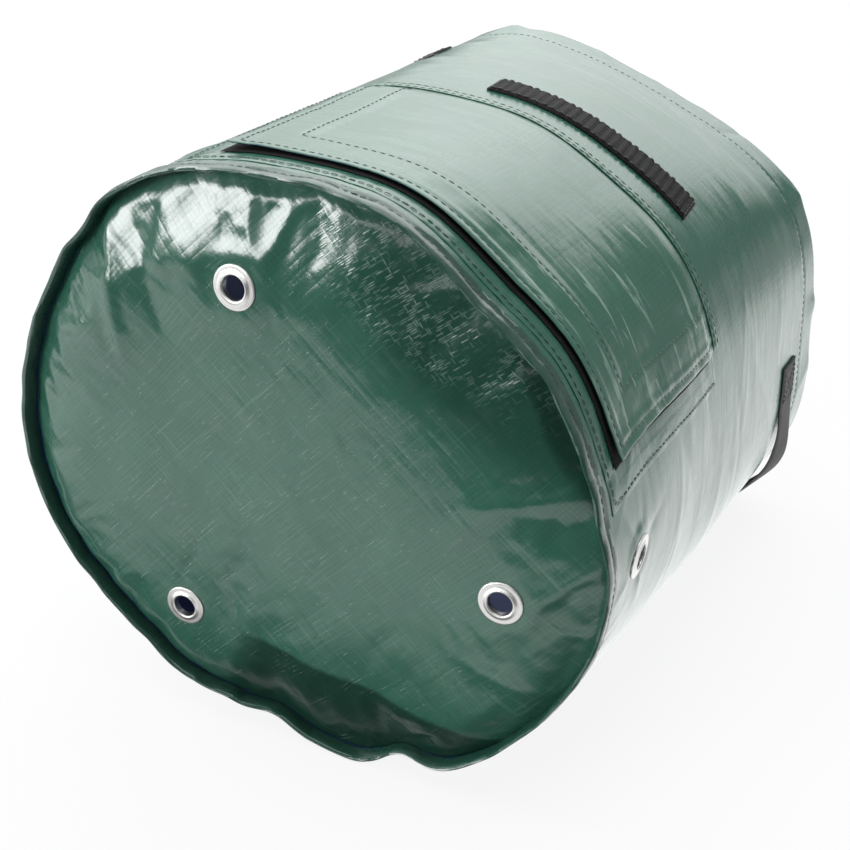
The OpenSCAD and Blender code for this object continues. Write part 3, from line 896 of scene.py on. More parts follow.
def build_wall(eyes):
    """One sheet that laps over itself at the back, its top edge folded in as a hem."""
    lap_start, lap_end = radians(86.0), radians(454.0)
    step = radians(0.5)
    edge, hem_depth, turned_in = 0.0006, 0.025, 0.0012
    cols = np.arange(lap_start, lap_end + step / 2, step)
    rows = np.concatenate([np.linspace(edge, WINDOW_Z0, 38),
                           np.linspace(WINDOW_Z0, WINDOW_Z1, 61)[1:],
                           np.linspace(WINDOW_Z1, HEIGHT - edge, 157)[1:]])
    bend = np.linspace(0, 1, 5)[1:]
    hem_z = np.concatenate([HEIGHT - edge + edge * np.sin(bend * PI),
                            np.linspace(HEIGHT - edge, HEIGHT - hem_depth, 18)[1:]])
    hem_off = np.concatenate([-(edge - edge * np.cos(bend * PI)), np.full(17, -turned_in)])
    phi, z = np.meshgrid(cols, np.concatenate([rows, hem_z]), indexing="ij")
    off = np.concatenate([np.zeros(len(rows)), hem_off])[None, :] * np.ones(phi.shape)
    off = off + smooth(radians(443), radians(446.5), phi) * 0.00075
    # the cloth's thickness lies inwards, and outwards once the hem has turned over
    fold = slice(len(rows), len(rows) + 2)
    inward = np.ones(phi.shape[1])
    inward[fold] = 0.35
    inward[fold.stop:] = -1.0
    outer, _ = wall(phi, z, off)
    inner, _ = wall(phi, z, off - CLOTH_T * inward)
    inner[:, fold, 2] -= CLOTH_T * 0.8
    window = window_cells(phi, z)
    window[:, len(rows) - 1:] = False
    faces = grid_faces(*phi.shape, ~window)
    outer, cut_faces = punch(outer.reshape(-1, 3), faces, eyes, 0.0072)
    inner, _ = punch(inner.reshape(-1, 3), faces, [(p - n * CLOTH_T, n) for p, n in eyes],
                     0.0072)
    # the strip of hem inside the bag is the green face turned over
    run = np.concatenate([rows, HEIGHT + (HEIGHT - hem_z)])[None, :] * np.ones(phi.shape)
    uvs = np.stack([(phi - lap_start) * RADIUS, run], -1)
    piece = sheet("wall_panel_soft", outer, inner, cut_faces, uvs, [WALL_TARP, INSIDE_TARP])
    mount(piece, "tarpaulin", "wall_panel")
    return piece


side_eyes = [wall(FRONT + sign * SIDE_EYE_A, SIDE_EYE_Z) for sign in (-1, 1)]
wall_piece = build_wall(side_eyes)


# ----------------------------------------------------------------- base panel
PATTERN_R = 0.1478                   # the flat pattern's edge, sewn to the wall
# round the base: angle in degrees, width in mm of the band between the pillow's crest and seam
BAND = ((-180, 30), (-165, 27), (-150, 37), (-133, 43), (-115, 44), (-95, 56), (-75, 84),
        (-50, 88), (-30, 62), (-12, 36), (5, 22), (22, 20), (40, 42), (60, 40), (78, 34),
        (92, 24), (115, 22), (140, 21), (160, 26))
# angle in degrees, power of the band's profile
BAND_POWER = ((-180, 1.6), (-152, 1.08), (-112, 1.08), (-98, 1.4), (-70, 1.7), (-20, 1.7),
              (20, 1.3), (90, 1.3), (150, 1.5))
# long soft folds in mm: x and y of both ends, height towards the outside, half-width
FOLDS = ((-142, -63, -102, -4, 2.6, 5.0), (-126, -70, -92, -32, -1.8, 5.0),
         (-64, -69, -3, -48, 0.7, 6.0), (-83, -35, -24, -21, 0.7, 6.0),
         (-1, -43, 65, -16, 0.8, 6.0), (69, -58, 112, -101, 1.8, 8.0),
         (104, 3, 130, -74, 1.3, 8.0), (102, 14, 146, 7, 1.0, 6.0),
         (-48, -27, 31, 19, 0.5, 8.0), (-62, -122, -62, -84, 0.9, 6.0),
         (-138, 11, -119, -10, 1.2, 4.0), (28, -43, 104, 3, 0.5, 8.0),
         (-100, -100, -82, -82, -0.9, 7.0), (-30, -134, -22, -108, 0.8, 4.0),
         (60, -128, 50, -104, 0.7, 4.0), (122, -76, 100, -70, 0.8, 4.0),
         (95, 92, 76, 74, 1.0, 5.0), (20, 132, 18, 104, 0.9, 5.0),
         (-60, 132, -52, 112, 0.8, 4.0))
# eyelets of the base: angle, its shift once slumped (degrees), shift outwards (mm)
BASE_EYES = ((225, 3.4, -3.2), (345, 0.2, 3.4), (105, -5.2, -0.3))


def flat_pattern():
    """Points and triangles of a hexagonal net inside two rings; faces look down."""
    count, pitch = 320, 0.0030
    angle = np.arange(count) / count * 2 * PI
    points = [r * np.stack([np.cos(a), np.sin(a)], -1)
              for r, a in ((PATTERN_R, angle), (0.1452, angle + PI / count))]
    for k, y in enumerate(np.arange(-0.15, 0.15, pitch * math.sqrt(3) / 2)):
        x = np.arange(-0.15, 0.15, pitch) + (pitch / 2 if k % 2 else 0)
        row = np.stack([x, np.full(len(x), y)], -1)
        points.append(row[np.hypot(row[:, 0], row[:, 1]) < 0.1432])
    result = delaunay_2d_cdt([Vector(p) for p in np.concatenate(points)], [], [], 0, 1e-7)
    flat = np.array([list(p) for p in result[0]], float)
    triangles = np.array([face for face in result[2] if len(face) == 3], int)
    a, b, c = (flat[triangles[:, k]] for k in range(3))
    area = (b[:, 0] - a[:, 0]) * (c[:, 1] - a[:, 1]) - (b[:, 1] - a[:, 1]) * (c[:, 0] - a[:, 0])
    return flat, np.where((area > 0)[:, None], triangles[:, ::-1], triangles)


def round_table(table, degrees):
    """Looks up a table of (degrees, value) that closes on itself."""
    x = [row[0] for row in table] + [180.0]
    y = [row[1] for row in table] + [table[0][1]]
    return np.interp((degrees + 180) % 360 - 180, x, y)


def seam_r(angle):
    """Radius at which the base meets the wall."""
    return wall_r(angle, 0.0095) - 0.0012


def base_shape(x, y):
    """Height of the pillowed base over the plan."""
    r, angle = np.hypot(x, y), np.arctan2(y, x)
    degrees = np.degrees(angle)
    depth = seam_r(angle) - r
    band = sum(0.2 * round_table(BAND, degrees + k) for k in (-9, -4, 0, 4, 9)) * MM
    t = np.clip(depth / band, 0, 1)
    z = 0.0088 - 0.0118 * (1 - (1 - t) ** round_table(BAND_POWER, degrees))
    # near one eyelet the cloth turns down sharply beside the seam, then runs flat
    z = z - (0.0017 * bump(angle, -133, 34) * smooth(0.001, 0.0105, depth)
             * smooth(0.085, 0.044, depth))
    inside = smooth(0.0, 0.006, depth)
    for fold in FOLDS:
        x0, y0, x1, y1, height, width = (value * MM for value in fold)
        length = math.hypot(x1 - x0, y1 - y0)
        ux, uy = (x1 - x0) / length, (y1 - y0) / length
        along = (x - x0) * ux + (y - y0) * uy
        across = -(x - x0) * uy + (y - y0) * ux
        fade = smooth(-0.012, 0.010, along) * smooth(length + 0.014, length - 0.012, along)
        z = z - height * fade * np.exp(-(np.abs(across) / width) ** 1.35) * inside
    return z + inside * (
        0.0009 * plan_noise(x, y, 0.046, 41) + 0.00035 * plan_noise(x, y, 0.019, 42)
        + 0.00022 * plan_noise(0.7 * x + 0.7 * y, 3.2 * (0.7 * y - 0.7 * x), 0.020, 43))


def base_start(flat):
    """Stretches the flat pattern out to the rim's real outline and gives it its height."""
    r, angle = np.hypot(flat[:, 0], flat[:, 1]), np.arctan2(flat[:, 1], flat[:, 0])
    t = r / PATTERN_R
    stretch = seam_r(angle) / PATTERN_R * t ** 3 + (1 - t ** 3)
    x, y = flat[:, 0] * stretch, flat[:, 1] * stretch
    return np.stack([x, y, base_shape(x, y) + lift(angle, 0.0096) * t ** 4], -1)


def simulate(points, faces, pinned, frames=14, grow=0.008, stiffness=18):
    """Lets slightly enlarged cloth settle with its edge pinned."""
    mesh = bpy.data.meshes.new("base_sim")
    mesh.from_pydata(points.tolist(), [], int_lists(faces))
    cloth = bpy.data.objects.new("base_sim", mesh)
    scene = bpy.context.scene
    scene.collection.objects.link(cloth)
    group = cloth.vertex_groups.new(name="pin")
    for i in pinned:
        group.add([int(i)], 1.0, "REPLACE")
    modifier = cloth.modifiers.new("cloth", "CLOTH")
    settings = modifier.settings
    settings.quality = 6
    settings.mass = 0.12
    settings.tension_stiffness = settings.compression_stiffness = stiffness
    settings.shear_stiffness = stiffness * 0.6
    settings.bending_stiffness = 0.5
    settings.air_damping = 2.0
    settings.tension_damping = settings.compression_damping = 8
    settings.shear_damping = 8
    settings.bending_damping = 0.8
    settings.vertex_group_mass = "pin"
    settings.pin_stiffness = 1.0
    settings.shrink_min = settings.shrink_max = -grow
    settings.effector_weights.gravity = 0.02
    modifier.collision_settings.use_collision = False
    modifier.collision_settings.use_self_collision = False
    modifier.point_cache.frame_start, modifier.point_cache.frame_end = 1, frames
    scene.frame_start, scene.frame_end = 1, frames
    for k in range(1, frames + 1):
        scene.frame_set(k)
    settled = cloth.evaluated_get(bpy.context.evaluated_depsgraph_get())
    out = np.zeros(len(points) * 3)
    settled.data.vertices.foreach_get("co", out)
    out = out.reshape(-1, 3).copy()
    scene.frame_set(1)
    bpy.data.objects.remove(cloth)
    bpy.data.meshes.remove(mesh)
    return out


def add_wrinkles(start, settled, r):
    """Keeps the pillow's own shape and takes the small wrinkles from the simulation."""
    change = settled[:, 2] - start[:, 2]
    cell = 0.022
    u, v = (start[:, 0] + 0.2) / cell, (start[:, 1] + 0.2) / cell
    cells = np.round(u).astype(int), np.round(v).astype(int)
    total, count = np.zeros((24, 24)), np.zeros((24, 24))
    np.add.at(total, cells, change)
    np.add.at(count, cells, 1)
    broad = catmull_rom(total / np.maximum(count, 1), u, v, wrap_u=False)
    points = start.copy()
    points[:, :2] = settled[:, :2]
    points[:, 2] += np.clip(change - broad, -0.0012, 0.0012) * smooth(PATTERN_R, 0.1400, r)
    # nothing bulges below the lowest height
    lowest, knee = -0.0075, 0.004
    below = lowest + knee - points[:, 2]
    points[:, 2] = np.where(below > 0, lowest + knee - knee * np.tanh(below / knee),
                            points[:, 2])
    return points


def seat_eyelets(points):
    """Flattens the base round its eyelets and returns their (centre, axis)."""
    eyes = []
    for angle, turn, shift in BASE_EYES:
        angle = radians(angle + turn)
        r = BASE_MOUNT["pcd_mm"] * MM / 2 + shift * MM
        x, y = r * math.cos(angle), r * math.sin(angle)
        dx, dy = points[:, 0] - x, points[:, 1] - y
        distance = np.hypot(dx, dy)
        near = distance < 0.016
        terms = np.stack([dx[near], dy[near], np.ones(near.sum())], -1)
        slope_x, slope_y, z = np.linalg.lstsq(terms, points[near, 2], rcond=None)[0]
        slope_x, slope_y = np.clip([slope_x, slope_y], -0.15, 0.15)
        plane = z + slope_x * dx + slope_y * dy
        flat = smooth(0.022, 0.012, distance)
        points[:, 2] = points[:, 2] * (1 - flat) + plane * flat
        axis = np.array([slope_x, slope_y, -1.0])
        eyes.append((np.array([x, y, z]), axis / np.linalg.norm(axis)))
    return eyes


def subdivide(points, faces, uvs, hold):
    """One smoothing (Loop) subdivision of a triangle net. Points in hold keep their place."""
    count = len(points)
    edges = np.sort(np.concatenate([faces[:, [0, 1]], faces[:, [1, 2]], faces[:, [2, 0]]]), 1)
    key, inverse, uses = np.unique(edges[:, 0].astype(np.int64) * count + edges[:, 1],
                                   return_inverse=True, return_counts=True)
    start, end = key // count, key % count
    opposite = np.zeros((len(key), 3))
    np.add.at(opposite, inverse, points[np.concatenate([faces[:, 2], faces[:, 0], faces[:, 1]])])
    ends = points[start] + points[end]
    middle = np.where((uses == 2)[:, None], 0.375 * ends + 0.125 * opposite, 0.5 * ends)
    degree = np.zeros(count)
    around = np.zeros((count, 3))
    for here, there in ((start, end), (end, start)):
        np.add.at(degree, here, 1)
        np.add.at(around, here, points[there])
    beta = (0.625 - (0.375 + 0.25 * np.cos(2 * PI / degree)) ** 2) / degree
    moved = points * (1 - degree * beta)[:, None] + around * beta[:, None]
    moved[hold] = points[hold]
    m = len(faces)
    a, b, c = inverse[:m] + count, inverse[m:2 * m] + count, inverse[2 * m:] + count
    corners = ((faces[:, 0], a, c), (a, faces[:, 1], b), (c, b, faces[:, 2]), (a, b, c))
    return (np.concatenate([moved, middle]),
            np.concatenate([np.stack(corner, -1) for corner in corners]),
            np.concatenate([uvs, 0.5 * (uvs[start] + uvs[end])]))


def build_base():
    flat, triangles = flat_pattern()
    start = base_start(flat)
    r = np.hypot(flat[:, 0], flat[:, 1])
    settled = simulate(start, triangles, np.where(r > 0.1465)[0])
    # guards against a simulation that has blown up
    if not np.isfinite(settled).all() or np.abs(settled - start).max() > 0.05:
        settled = start
    points = add_wrinkles(start, settled, r)
    eyes = seat_eyelets(points)
    points, faces, uvs = subdivide(points, triangles, flat, r > 0.1470)
    normals = np.zeros_like(points)
    a, b, c = (points[faces[:, k]] for k in range(3))
    face_normals = np.cross(b - a, c - a)
    for k in range(3):
        np.add.at(normals, faces[:, k], face_normals)
    normals /= np.maximum(np.linalg.norm(normals, axis=1, keepdims=True), 1e-12)
    outer, cut_faces = punch(points, faces, eyes, 0.0070)
    inner, _ = punch(points - normals * CLOTH_T, faces, [(p - n * CLOTH_T, n) for p, n in eyes],
                     0.0070)
    piece = sheet("base_panel_soft", outer, inner, cut_faces, uvs, [BASE_TARP, INSIDE_TARP])
    mount(piece, "tarpaulin", "base_panel")
    return piece, eyes


base_piece, base_eyes = build_base()

# ---------------------------------------------------------------- rim binding
# section of the tape from outside to inside: offset from the wall, z
BINDING = ((0.00020, 0.0098), (0.00075, 0.0094), (0.00082, 0.0070), (0.00060, 0.0060),
           (0.00082, 0.0050), (0.00080, 0.0016), (0.00045, 0.0004), (-0.0003, 0.0000),
           (-0.0011, 0.0004), (-0.0016, 0.0016), (-0.0018, 0.0040), (-0.0018, 0.0078))


def build_binding():
    """The lip: binding tape folded round the raw edges of wall and base."""
    cols, rows, thickness = 720, len(BINDING), 0.00035
    phi = np.arange(cols) / cols * 2 * PI
    cos_p, sin_p = np.cos(phi), np.sin(phi)
    outer, inner = [], []
    for k, (off, z) in enumerate(BINDING):
        jitter = 0.00022 * ring_noise(phi, 130, 50 + k)
        r = wall_r(phi, z if off > 0 else 0.004) + off + jitter
        points = np.stack([cos_p * r, sin_p * r, z + lift(phi, z) + jitter * 0.6], -1)
        turn = PI * smooth(3.5, 8.5, k)
        inward = np.stack([-cos_p * math.cos(turn), -sin_p * math.cos(turn),
                           np.full(cols, math.sin(turn))], -1)
        outer.append(points)
        inner.append(points + inward * thickness)
    outer, inner = np.stack(outer, 1)[:, ::-1], np.stack(inner, 1)[:, ::-1]
    steps = np.linalg.norm(np.diff(outer[0], axis=0), axis=1)
    run = np.concatenate([[0], np.cumsum(steps)])
    uvs = np.stack(np.meshgrid(phi * RADIUS, run, indexing="ij"), -1)
    i, j = np.meshgrid(np.arange(cols), np.arange(rows - 1), indexing="ij")
    here, after = i * rows + j, ((i + 1) % cols) * rows + j
    faces = np.stack([here, after, after + 1, here + 1], -1).reshape(-1, 4)
    piece = sheet("rim_binding_soft", outer, inner, faces, uvs, [BINDING_TARP])
    mount(piece, "tarpaulin", "rim_binding")
    return piece


binding_piece = build_binding()


# -------------------------------------------------------- facing of the window
def facing_off(phi, z):
    edge = np.minimum(np.minimum(z - facing_lo.z, facing_hi.z - z),
                      (FACING_A - np.abs(phi - FRONT)) * RADIUS)
    rise = 0.00022 * smooth(0.0, 0.0018, edge) + 0.00010 * smooth(0.011, 0.009, edge)
    pucker = 0.00018 * noise(phi, z, 210, 0.006, 61) * smooth(0.012, 0.004, edge)
    return 0.0002 + rise + pucker - 0.00012 * np.exp(-((edge - 0.003) / 0.0009) ** 2)


def build_facing():
    angles = joined((-FACING_A, -WINDOW_A, WINDOW_A, FACING_A), 0.008) + FRONT
    heights = joined((facing_lo.z, WINDOW_Z0, WINDOW_Z1, facing_hi.z), 0.0013)
    window = window_cells(*np.meshgrid(angles, heights, indexing="ij"))
    piece = strip("window_facing_soft", angles, heights, 0.00012, facing_off, [RIM_TARP],
                  keep=~window)
    mount(piece, "tarpaulin", "window_facing")


build_facing()


# ------------------------------------------------------- loop tapes on the wall
def tape_grid(node):
    """Angles and heights that a tape spans; it ends short of the flap's sewn edge."""
    points = np.array([v.co for v in frame["nodes"][node].data.vertices], float)
    angle = wrap(np.arctan2(points[:, 1], points[:, 0]) - FRONT)
    top = min(points[:, 2].max(), flap_hi.z - 0.009)
    return (spaced(angle.min(), angle.max(), 0.008) + FRONT,
            spaced(points[:, 2].min(), top, 0.0012))


def tape_noise(phi, z, seed):
    return 0.7 * (0.00012 * noise(phi, z, 300, 0.004, seed))


def build_loop_tape(node, seed):
    piece = strip(node + "_soft", *tape_grid(node), 0.00070,
                  lambda phi, z: 0.00122 + tape_noise(phi, z, seed),
                  [LOOP_TAPE], round_edge=0.0008)
    mount(piece, "loop_tape", node)


build_loop_tape("loop_tape_bottom", 71)
build_loop_tape("loop_tape_left", 72)
build_loop_tape("loop_tape_right", 73)

# ----------------------------------------------------------------------- flap
FLAP_ROWS = (0.0042, 0.0236)         # rows of stitches, measured in from the free edges
flap_draw = np.random.RandomState(91)
# angle from the front, z, tilt, half-length, half-width, height, sharpness
FLAP_FOLDS = [(flap_draw.uniform(-0.9, 0.9), flap_draw.uniform(0.03, 0.155),
               radians(flap_draw.normal(0, 9)), flap_draw.uniform(0.015, 0.06),
               flap_draw.uniform(0.0016, 0.0050), flap_draw.uniform(-1, 1) * 0.00022,
               flap_draw.uniform(0.9, 1.5)) for _ in range(60)]


def flap_folds(phi, z):
    total = 0
    for centre, mid_z, tilt, length, width, height, power in FLAP_FOLDS:
        x, rise = (phi - FRONT - centre) * RADIUS, z - mid_z
        along = x * math.cos(tilt) + rise * math.sin(tilt)
        across = -x * math.sin(tilt) + rise * math.cos(tilt)
        fade = np.clip(1 - (along / length) ** 2, 0, None) ** 1.5
        total = total + height * fade * np.exp(-(np.abs(across) / width) ** power)
    return total


def flap_off(phi, z):
    """How far the flap's outer face stands off the wall."""
    top = flap_hi.z
    side = FLAP_A * RADIUS - np.abs((phi - FRONT) * RADIUS)     # in from the side edges
    low = z - flap_lo.z                                         # up from the lower edge
    over_tape = np.maximum(smooth(0.030, 0.022, side), smooth(0.030, 0.022, low))
    off = 0.0019 + 0.0010 * over_tape * smooth(top + 0.001, top - 0.012, z)
    # the lower edge stands open, most at the corners
    gap = 0.0002 + 0.0004 * ring_noise(phi, 14, 81) + 0.0004 * smooth(0.030, 0.0, side)
    gap = gap + 0.0008 * bump(phi, -132, 8)
    off = off + gap * np.exp(-np.clip(low, 0, None) / 0.016)
    off = off + 0.0010 * np.exp(-np.clip(side, 0, None) / 0.006) * smooth(0.09, 0.0, low)
    # it settles on to the wall at its sewn edge
    free = smooth(top + 0.002, top - 0.010, z)
    off = off * free + 0.00095 * (1 - free)
    # soft swells and long shallow folds, and puckers between the rows of stitches
    middle = smooth(0.0, 0.02, side) * smooth(0.0, 0.02, low)
    off = off + 0.0006 * noise(phi, z, 17, 0.045, 82) * middle * smooth(top, top - 0.03, z)
    off = off + flap_folds(phi, z) * smooth(top + 0.001, top - 0.008, z)
    band = np.maximum(np.exp(-((side - 0.013) / 0.009) ** 2),
                      np.exp(-((low - 0.014) / 0.008) ** 2))
    off = off + 0.00016 * noise(phi, z, 150, 0.012, 83) * band * smooth(0.0, 0.004, side)
    off = off + 0.00008 * noise(phi, z, 260, 0.0055, 84) * smooth(0.028, 0.015, side)
    # hem step and the grooves that the stitches pull
    edge = np.minimum(side, low)
    off = off + 0.00025 * smooth(0.0095, 0.0080, edge)
    for row in FLAP_ROWS:
        off = off - 0.00030 * np.exp(-((edge - row) / 0.0010) ** 2)
    return off


def flap_thinning(phi, z):
    """What each face gives up at the free edges, so that the hem's fold is round."""
    edge = np.minimum(FLAP_A * RADIUS - np.abs(phi - FRONT) * RADIUS, z - flap_lo.z)
    return FLAP_T / 2 * (1 - quarter_round(np.clip(edge / 0.0009, 0, 1))) * 0.8


def build_flap():
    angles = np.concatenate([[-FLAP_A, -FLAP_A + 0.0015, -FLAP_A + 0.0035],
                             spaced(-FLAP_A + 0.007, FLAP_A - 0.007, 0.0078),
                             [FLAP_A - 0.0035, FLAP_A - 0.0015, FLAP_A]]) + FRONT
    low = flap_lo.z
    heights = np.concatenate([[low, low + 0.00022, low + 0.0005],
                              spaced(low + 0.001, flap_hi.z + 0.0026, 0.00115)])
    piece = strip("flap_panel_soft", angles, heights,
                  lambda phi, z: flap_off(phi, z) - FLAP_T + flap_thinning(phi, z),
                  lambda phi, z: flap_off(phi, z) - flap_thinning(phi, z),
                  [FLAP_TARP, INSIDE_TARP], sharp=60)
    mount(piece, "tarpaulin", "flap_panel", bend=FLAP_BEND)


def build_hook_tape(node, seed):
    """Hook tape sewn inside the flap."""
    piece = strip(node + "_soft", *tape_grid(node),
                  lambda phi, z: flap_off(phi, z) - FLAP_T - 0.00070 - tape_noise(phi, z, seed),
                  lambda phi, z: flap_off(phi, z) - FLAP_T - 0.00005,
                  [HOOK_TAPE], round_edge=0.0008)
    mount(piece, "hook_tape", node, bend=FLAP_BEND)


build_flap()
build_hook_tape("hook_tape_bottom", 74)
build_hook_tape("hook_tape_left", 75)
build_hook_tape("hook_tape_right", 76)

# ------------------------------------------------ sewn strip above the flap
HEADER_ROWS = (header_lo.z + 0.0012, header_hi.z - 0.0014)


def header_off(phi, z):
    groove = sum(np.exp(-((z - row) / 0.0008) ** 2) for row in HEADER_ROWS)
    return 0.0017 - 0.0003 * groove + 0.00012 * noise(phi, z, 240, 0.006, 62)


def build_header():
    piece = strip("flap_header_soft", spaced(-FLAP_A, FLAP_A, 0.008) + FRONT,
                  spaced(header_lo.z - 0.0010, header_hi.z, 0.0007), 0.0010, header_off,
                  [FLAP_TARP], round_edge=0.0008)
    mount(piece, "tarpaulin", "flap_header")


build_header()


# ------------------------------------- ribbed strip that holds the rolled flap
def keeper_off(phi, z):
    x = (phi - FRONT) * RADIUS
    rib = 0.5 + 0.5 * np.cos(2 * PI * x / 0.0050 + 0.4 * noise(phi, z, 40, 0.02, 63))
    ends = (smooth(0.0, 0.003, KEEPER_A * RADIUS - np.abs(x))
            * smooth(0.0, 0.0016, np.minimum(z - keeper_lo.z, keeper_hi.z - z)))
    return (0.0010 + (0.0009 + 0.00055 * rib) * ends
            + 0.00010 * noise(phi, z, 420, 0.0025, 64) * ends)


def keeper_wave(phi, z, points):
    """Makes the strip's lower edge wavy."""
    points = points.copy()
    points[..., 2] += 0.0005 * ring_noise(phi, 60, 65) * smooth(keeper_hi.z, keeper_lo.z, z)
    return points


def build_keeper():
    piece = strip("keeper_strip_soft", spaced(-KEEPER_A, KEEPER_A, 0.0036) + FRONT,
                  spaced(keeper_lo.z, keeper_hi.z, 0.0008), 0.00015, keeper_off, [HOOK_TAPE],
                  sharp=70, move=keeper_wave)
    mount(piece, "hook_tape", "keeper_strip")


build_keeper()


# -------------------------------------------------------------------- handles
def build_handle(name, side, centre, rise, bow, taper, flare, sway, reach, seed):
    """One length of webbing with both ends sewn down and a slack loop between them.

    centre is the middle's angle in degrees, rise how far the slumped mouth has carried it up,
    bow how far the loop stands out, taper how much less it does so towards +angle, flare how far
    its upper edge leans out and its lower edge in, sway the phase of its twist. side (the sign
    of x) and reach (the length of the bend in units of the loop's depth in x) are not used: they
    only go into the bend handed to mount, which bends nothing.
    """
    centre = radians(centre)
    middle_z = STRAP_Z + rise
    sewn_out, sewn_in = radians(27.5), radians(17.5)
    angles = np.linspace(-1, 1, 181) * sewn_out
    part = np.clip(np.abs(angles) / sewn_in, 0, 1)
    # the loop lies near the wall, bridging the hollow behind it
    bow = bow * (np.cos(part * PI) * 0.5 + 0.5) ** 0.75
    bow = bow * (1 - taper * smooth(-0.10, 0.12, angles))
    widths = np.linspace(-1, 1, 17)
    angle, across = np.meshgrid(angles, widths, indexing="ij")
    stand = np.repeat(bow[:, None], len(widths), 1)
    out = smooth(0.0, 0.006, stand)
    z = middle_z + across * STRAP_W / 2 * (1 - 0.05 * out)
    sag = -0.0015 * out + 0.0006 * ring_noise(angle + centre, 40, seed)
    cup = 0.0010 * (1 - across ** 2) * out
    twist = 0.0016 * across * out * np.sin(angle * 4.0 + sway)
    ripple = 0.00016 * noise(angle + centre, z, 90, 0.006, seed + 3)
    off = 0.00035 + stand + cup + twist + ripple + flare * across * out
    thickness = 0.0013 * (0.35 + 0.65 * np.sqrt(np.clip(1 - np.abs(across) ** 10, 0, 1)))
    phi = turned(angle + centre, middle_z)
    # the free webbing doesn't copy each wrinkle of the wall
    free = smooth(0.0, 0.004, stand)
    behind = wall_r(phi, z) * (1 - free) + oval(phi, middle_z) * free

    def points_at(offset):
        r = behind + offset
        return np.stack([r * np.cos(phi), r * np.sin(phi), z + sag * out], -1)
    outer, inner = points_at(off + thickness), points_at(off)
    steps = np.linalg.norm(np.diff(outer[:, 8], axis=0), axis=1)
    run = np.concatenate([[0], np.cumsum(steps)])
    uvs = np.stack(np.meshgrid(run, (widths + 1) / 2 * STRAP_W, indexing="ij"), -1)
    piece = sheet(name + "_webbing", outer, inner, grid_faces(len(angles), len(widths)), uvs,
                  [WEBBING], sharp=50)
    bend_x = np.abs(inner[stand > 0.0003][:, 0]).min() + 0.001
    depth = np.abs(inner[..., 0]).max() - bend_x
    mount(piece, "webbing", name + "_strap", name + "_ends",
          bend=(name, (side * bend_x, 0, STRAP_Z), (side * (bend_x + reach * depth), 0, STRAP_Z)))

    # a crossed box of stitches on each end
    margin = STRAP_W / 2 - 0.003
    near, far = sewn_in + radians(1.2), sewn_out - radians(1.2)
    up = np.linspace(middle_z - margin, middle_z + margin, 30)
    rows = []
    for k in (-1, 1):
        along = np.linspace(near, far, 30) * k + centre
        rows += [(along, middle_z + edge, 0.00168, 200 + k) for edge in (-margin, margin)]
        rows += [(edge * k + centre, up, 0.00168, 210 + k) for edge in (near, far)]
        rows += [(along, up, 0.00168, 220 + k), (along, up[::-1], 0.00174, 230 + k)]
    sew(name + "_stitching", rows, black=True, pitch=0.0030, length=0.0025)


build_handle("handle_right", side=1, centre=10.5, rise=0.0060, bow=0.0062, taper=0.45,
             flare=0.0026, sway=0.4, reach=3.5, seed=11)
build_handle("handle_left", side=-1, centre=193.0, rise=-0.0150, bow=0.0075, taper=0.0,
             flare=0.0, sway=-0.5, reach=3.0, seed=12)


# -------------------------------------------------------------------- eyelets
def arc(x, y, r, start, end, steps):
    angles = [radians(start + (end - start) * k / steps) for k in range(steps + 1)]
    return [(x + r * math.cos(angle), y + r * math.sin(angle)) for angle in angles]


# closed sections: radius, height above the cloth
BARREL = ([(HOLE_R, -0.0020), (HOLE_R, 0.0006)]
          + arc(HOLE_R + 0.0009, 0.0006, 0.0009, 180, 60, 7)
          + [(HOLE_R + 0.0022, 0.00085), (HOLE_R + 0.0029, 0.00078),
             (FLANGE_R - 0.0014, 0.00078)]
          + arc(FLANGE_R - 0.0009, 0.00018, 0.0006, 80, -60, 6)
          + [(FLANGE_R - 0.0012, 0.00005), (HOLE_R + 0.0005, 0.00005),
             (HOLE_R + 0.0005, -0.0020)])
WASHER = [(HOLE_R + 0.0006, -0.0004), (HOLE_R + 0.0010, -0.0011), (HOLE_R + 0.0018, -0.0013),
          (FLANGE_R - 0.0010, -0.0012), (FLANGE_R, -0.0008), (FLANGE_R, -0.00055),
          (FLANGE_R - 0.001, -0.00052)]


def build_eyelets(node, profile, places, segments=72):
    """Turned rings, one on each (centre, axis)."""
    points, faces, uvs = [], [], []
    size = len(profile)
    for centre, axis in places:
        axis = Vector(axis).normalized()
        right = axis.orthogonal().normalized()
        ahead = axis.cross(right)
        first = len(points)
        for i in range(segments):
            angle = 2 * PI * i / segments
            spoke = right * math.cos(angle) + ahead * math.sin(angle)
            here, after = first + i * size, first + (i + 1) % segments * size
            for j, (r, height) in enumerate(profile):
                points.append(tuple(Vector(centre) + spoke * r + axis * height))
                uvs.append((angle * 0.01, r))
                k = (j + 1) % size
                faces.append([here + j, after + j, after + k, here + k])
    piece = add_mesh(node + "_formed", points, faces, uvs, [0] * len(faces), [ALUMINIUM],
                     sharp=35)
    # the last eyelet piece stays the scene's active object
    bpy.context.view_layer.objects.active = piece
    mount(piece, "eyelet", node)


build_eyelets("base_eyelets", BARREL, base_eyes)
build_eyelets("base_eyelet_washers", WASHER, base_eyes)
build_eyelets("side_eyelets", BARREL, side_eyes)
build_eyelets("side_eyelet_washers", WASHER, side_eyes)


# ------------------------------------------------------------------- stitching
def on_surface(surface, angle, z, seed):
    """A row of stitches that lies on a surface given by its offset from the wall."""
    return angle, z, surface(angle, z) + 0.00002, seed


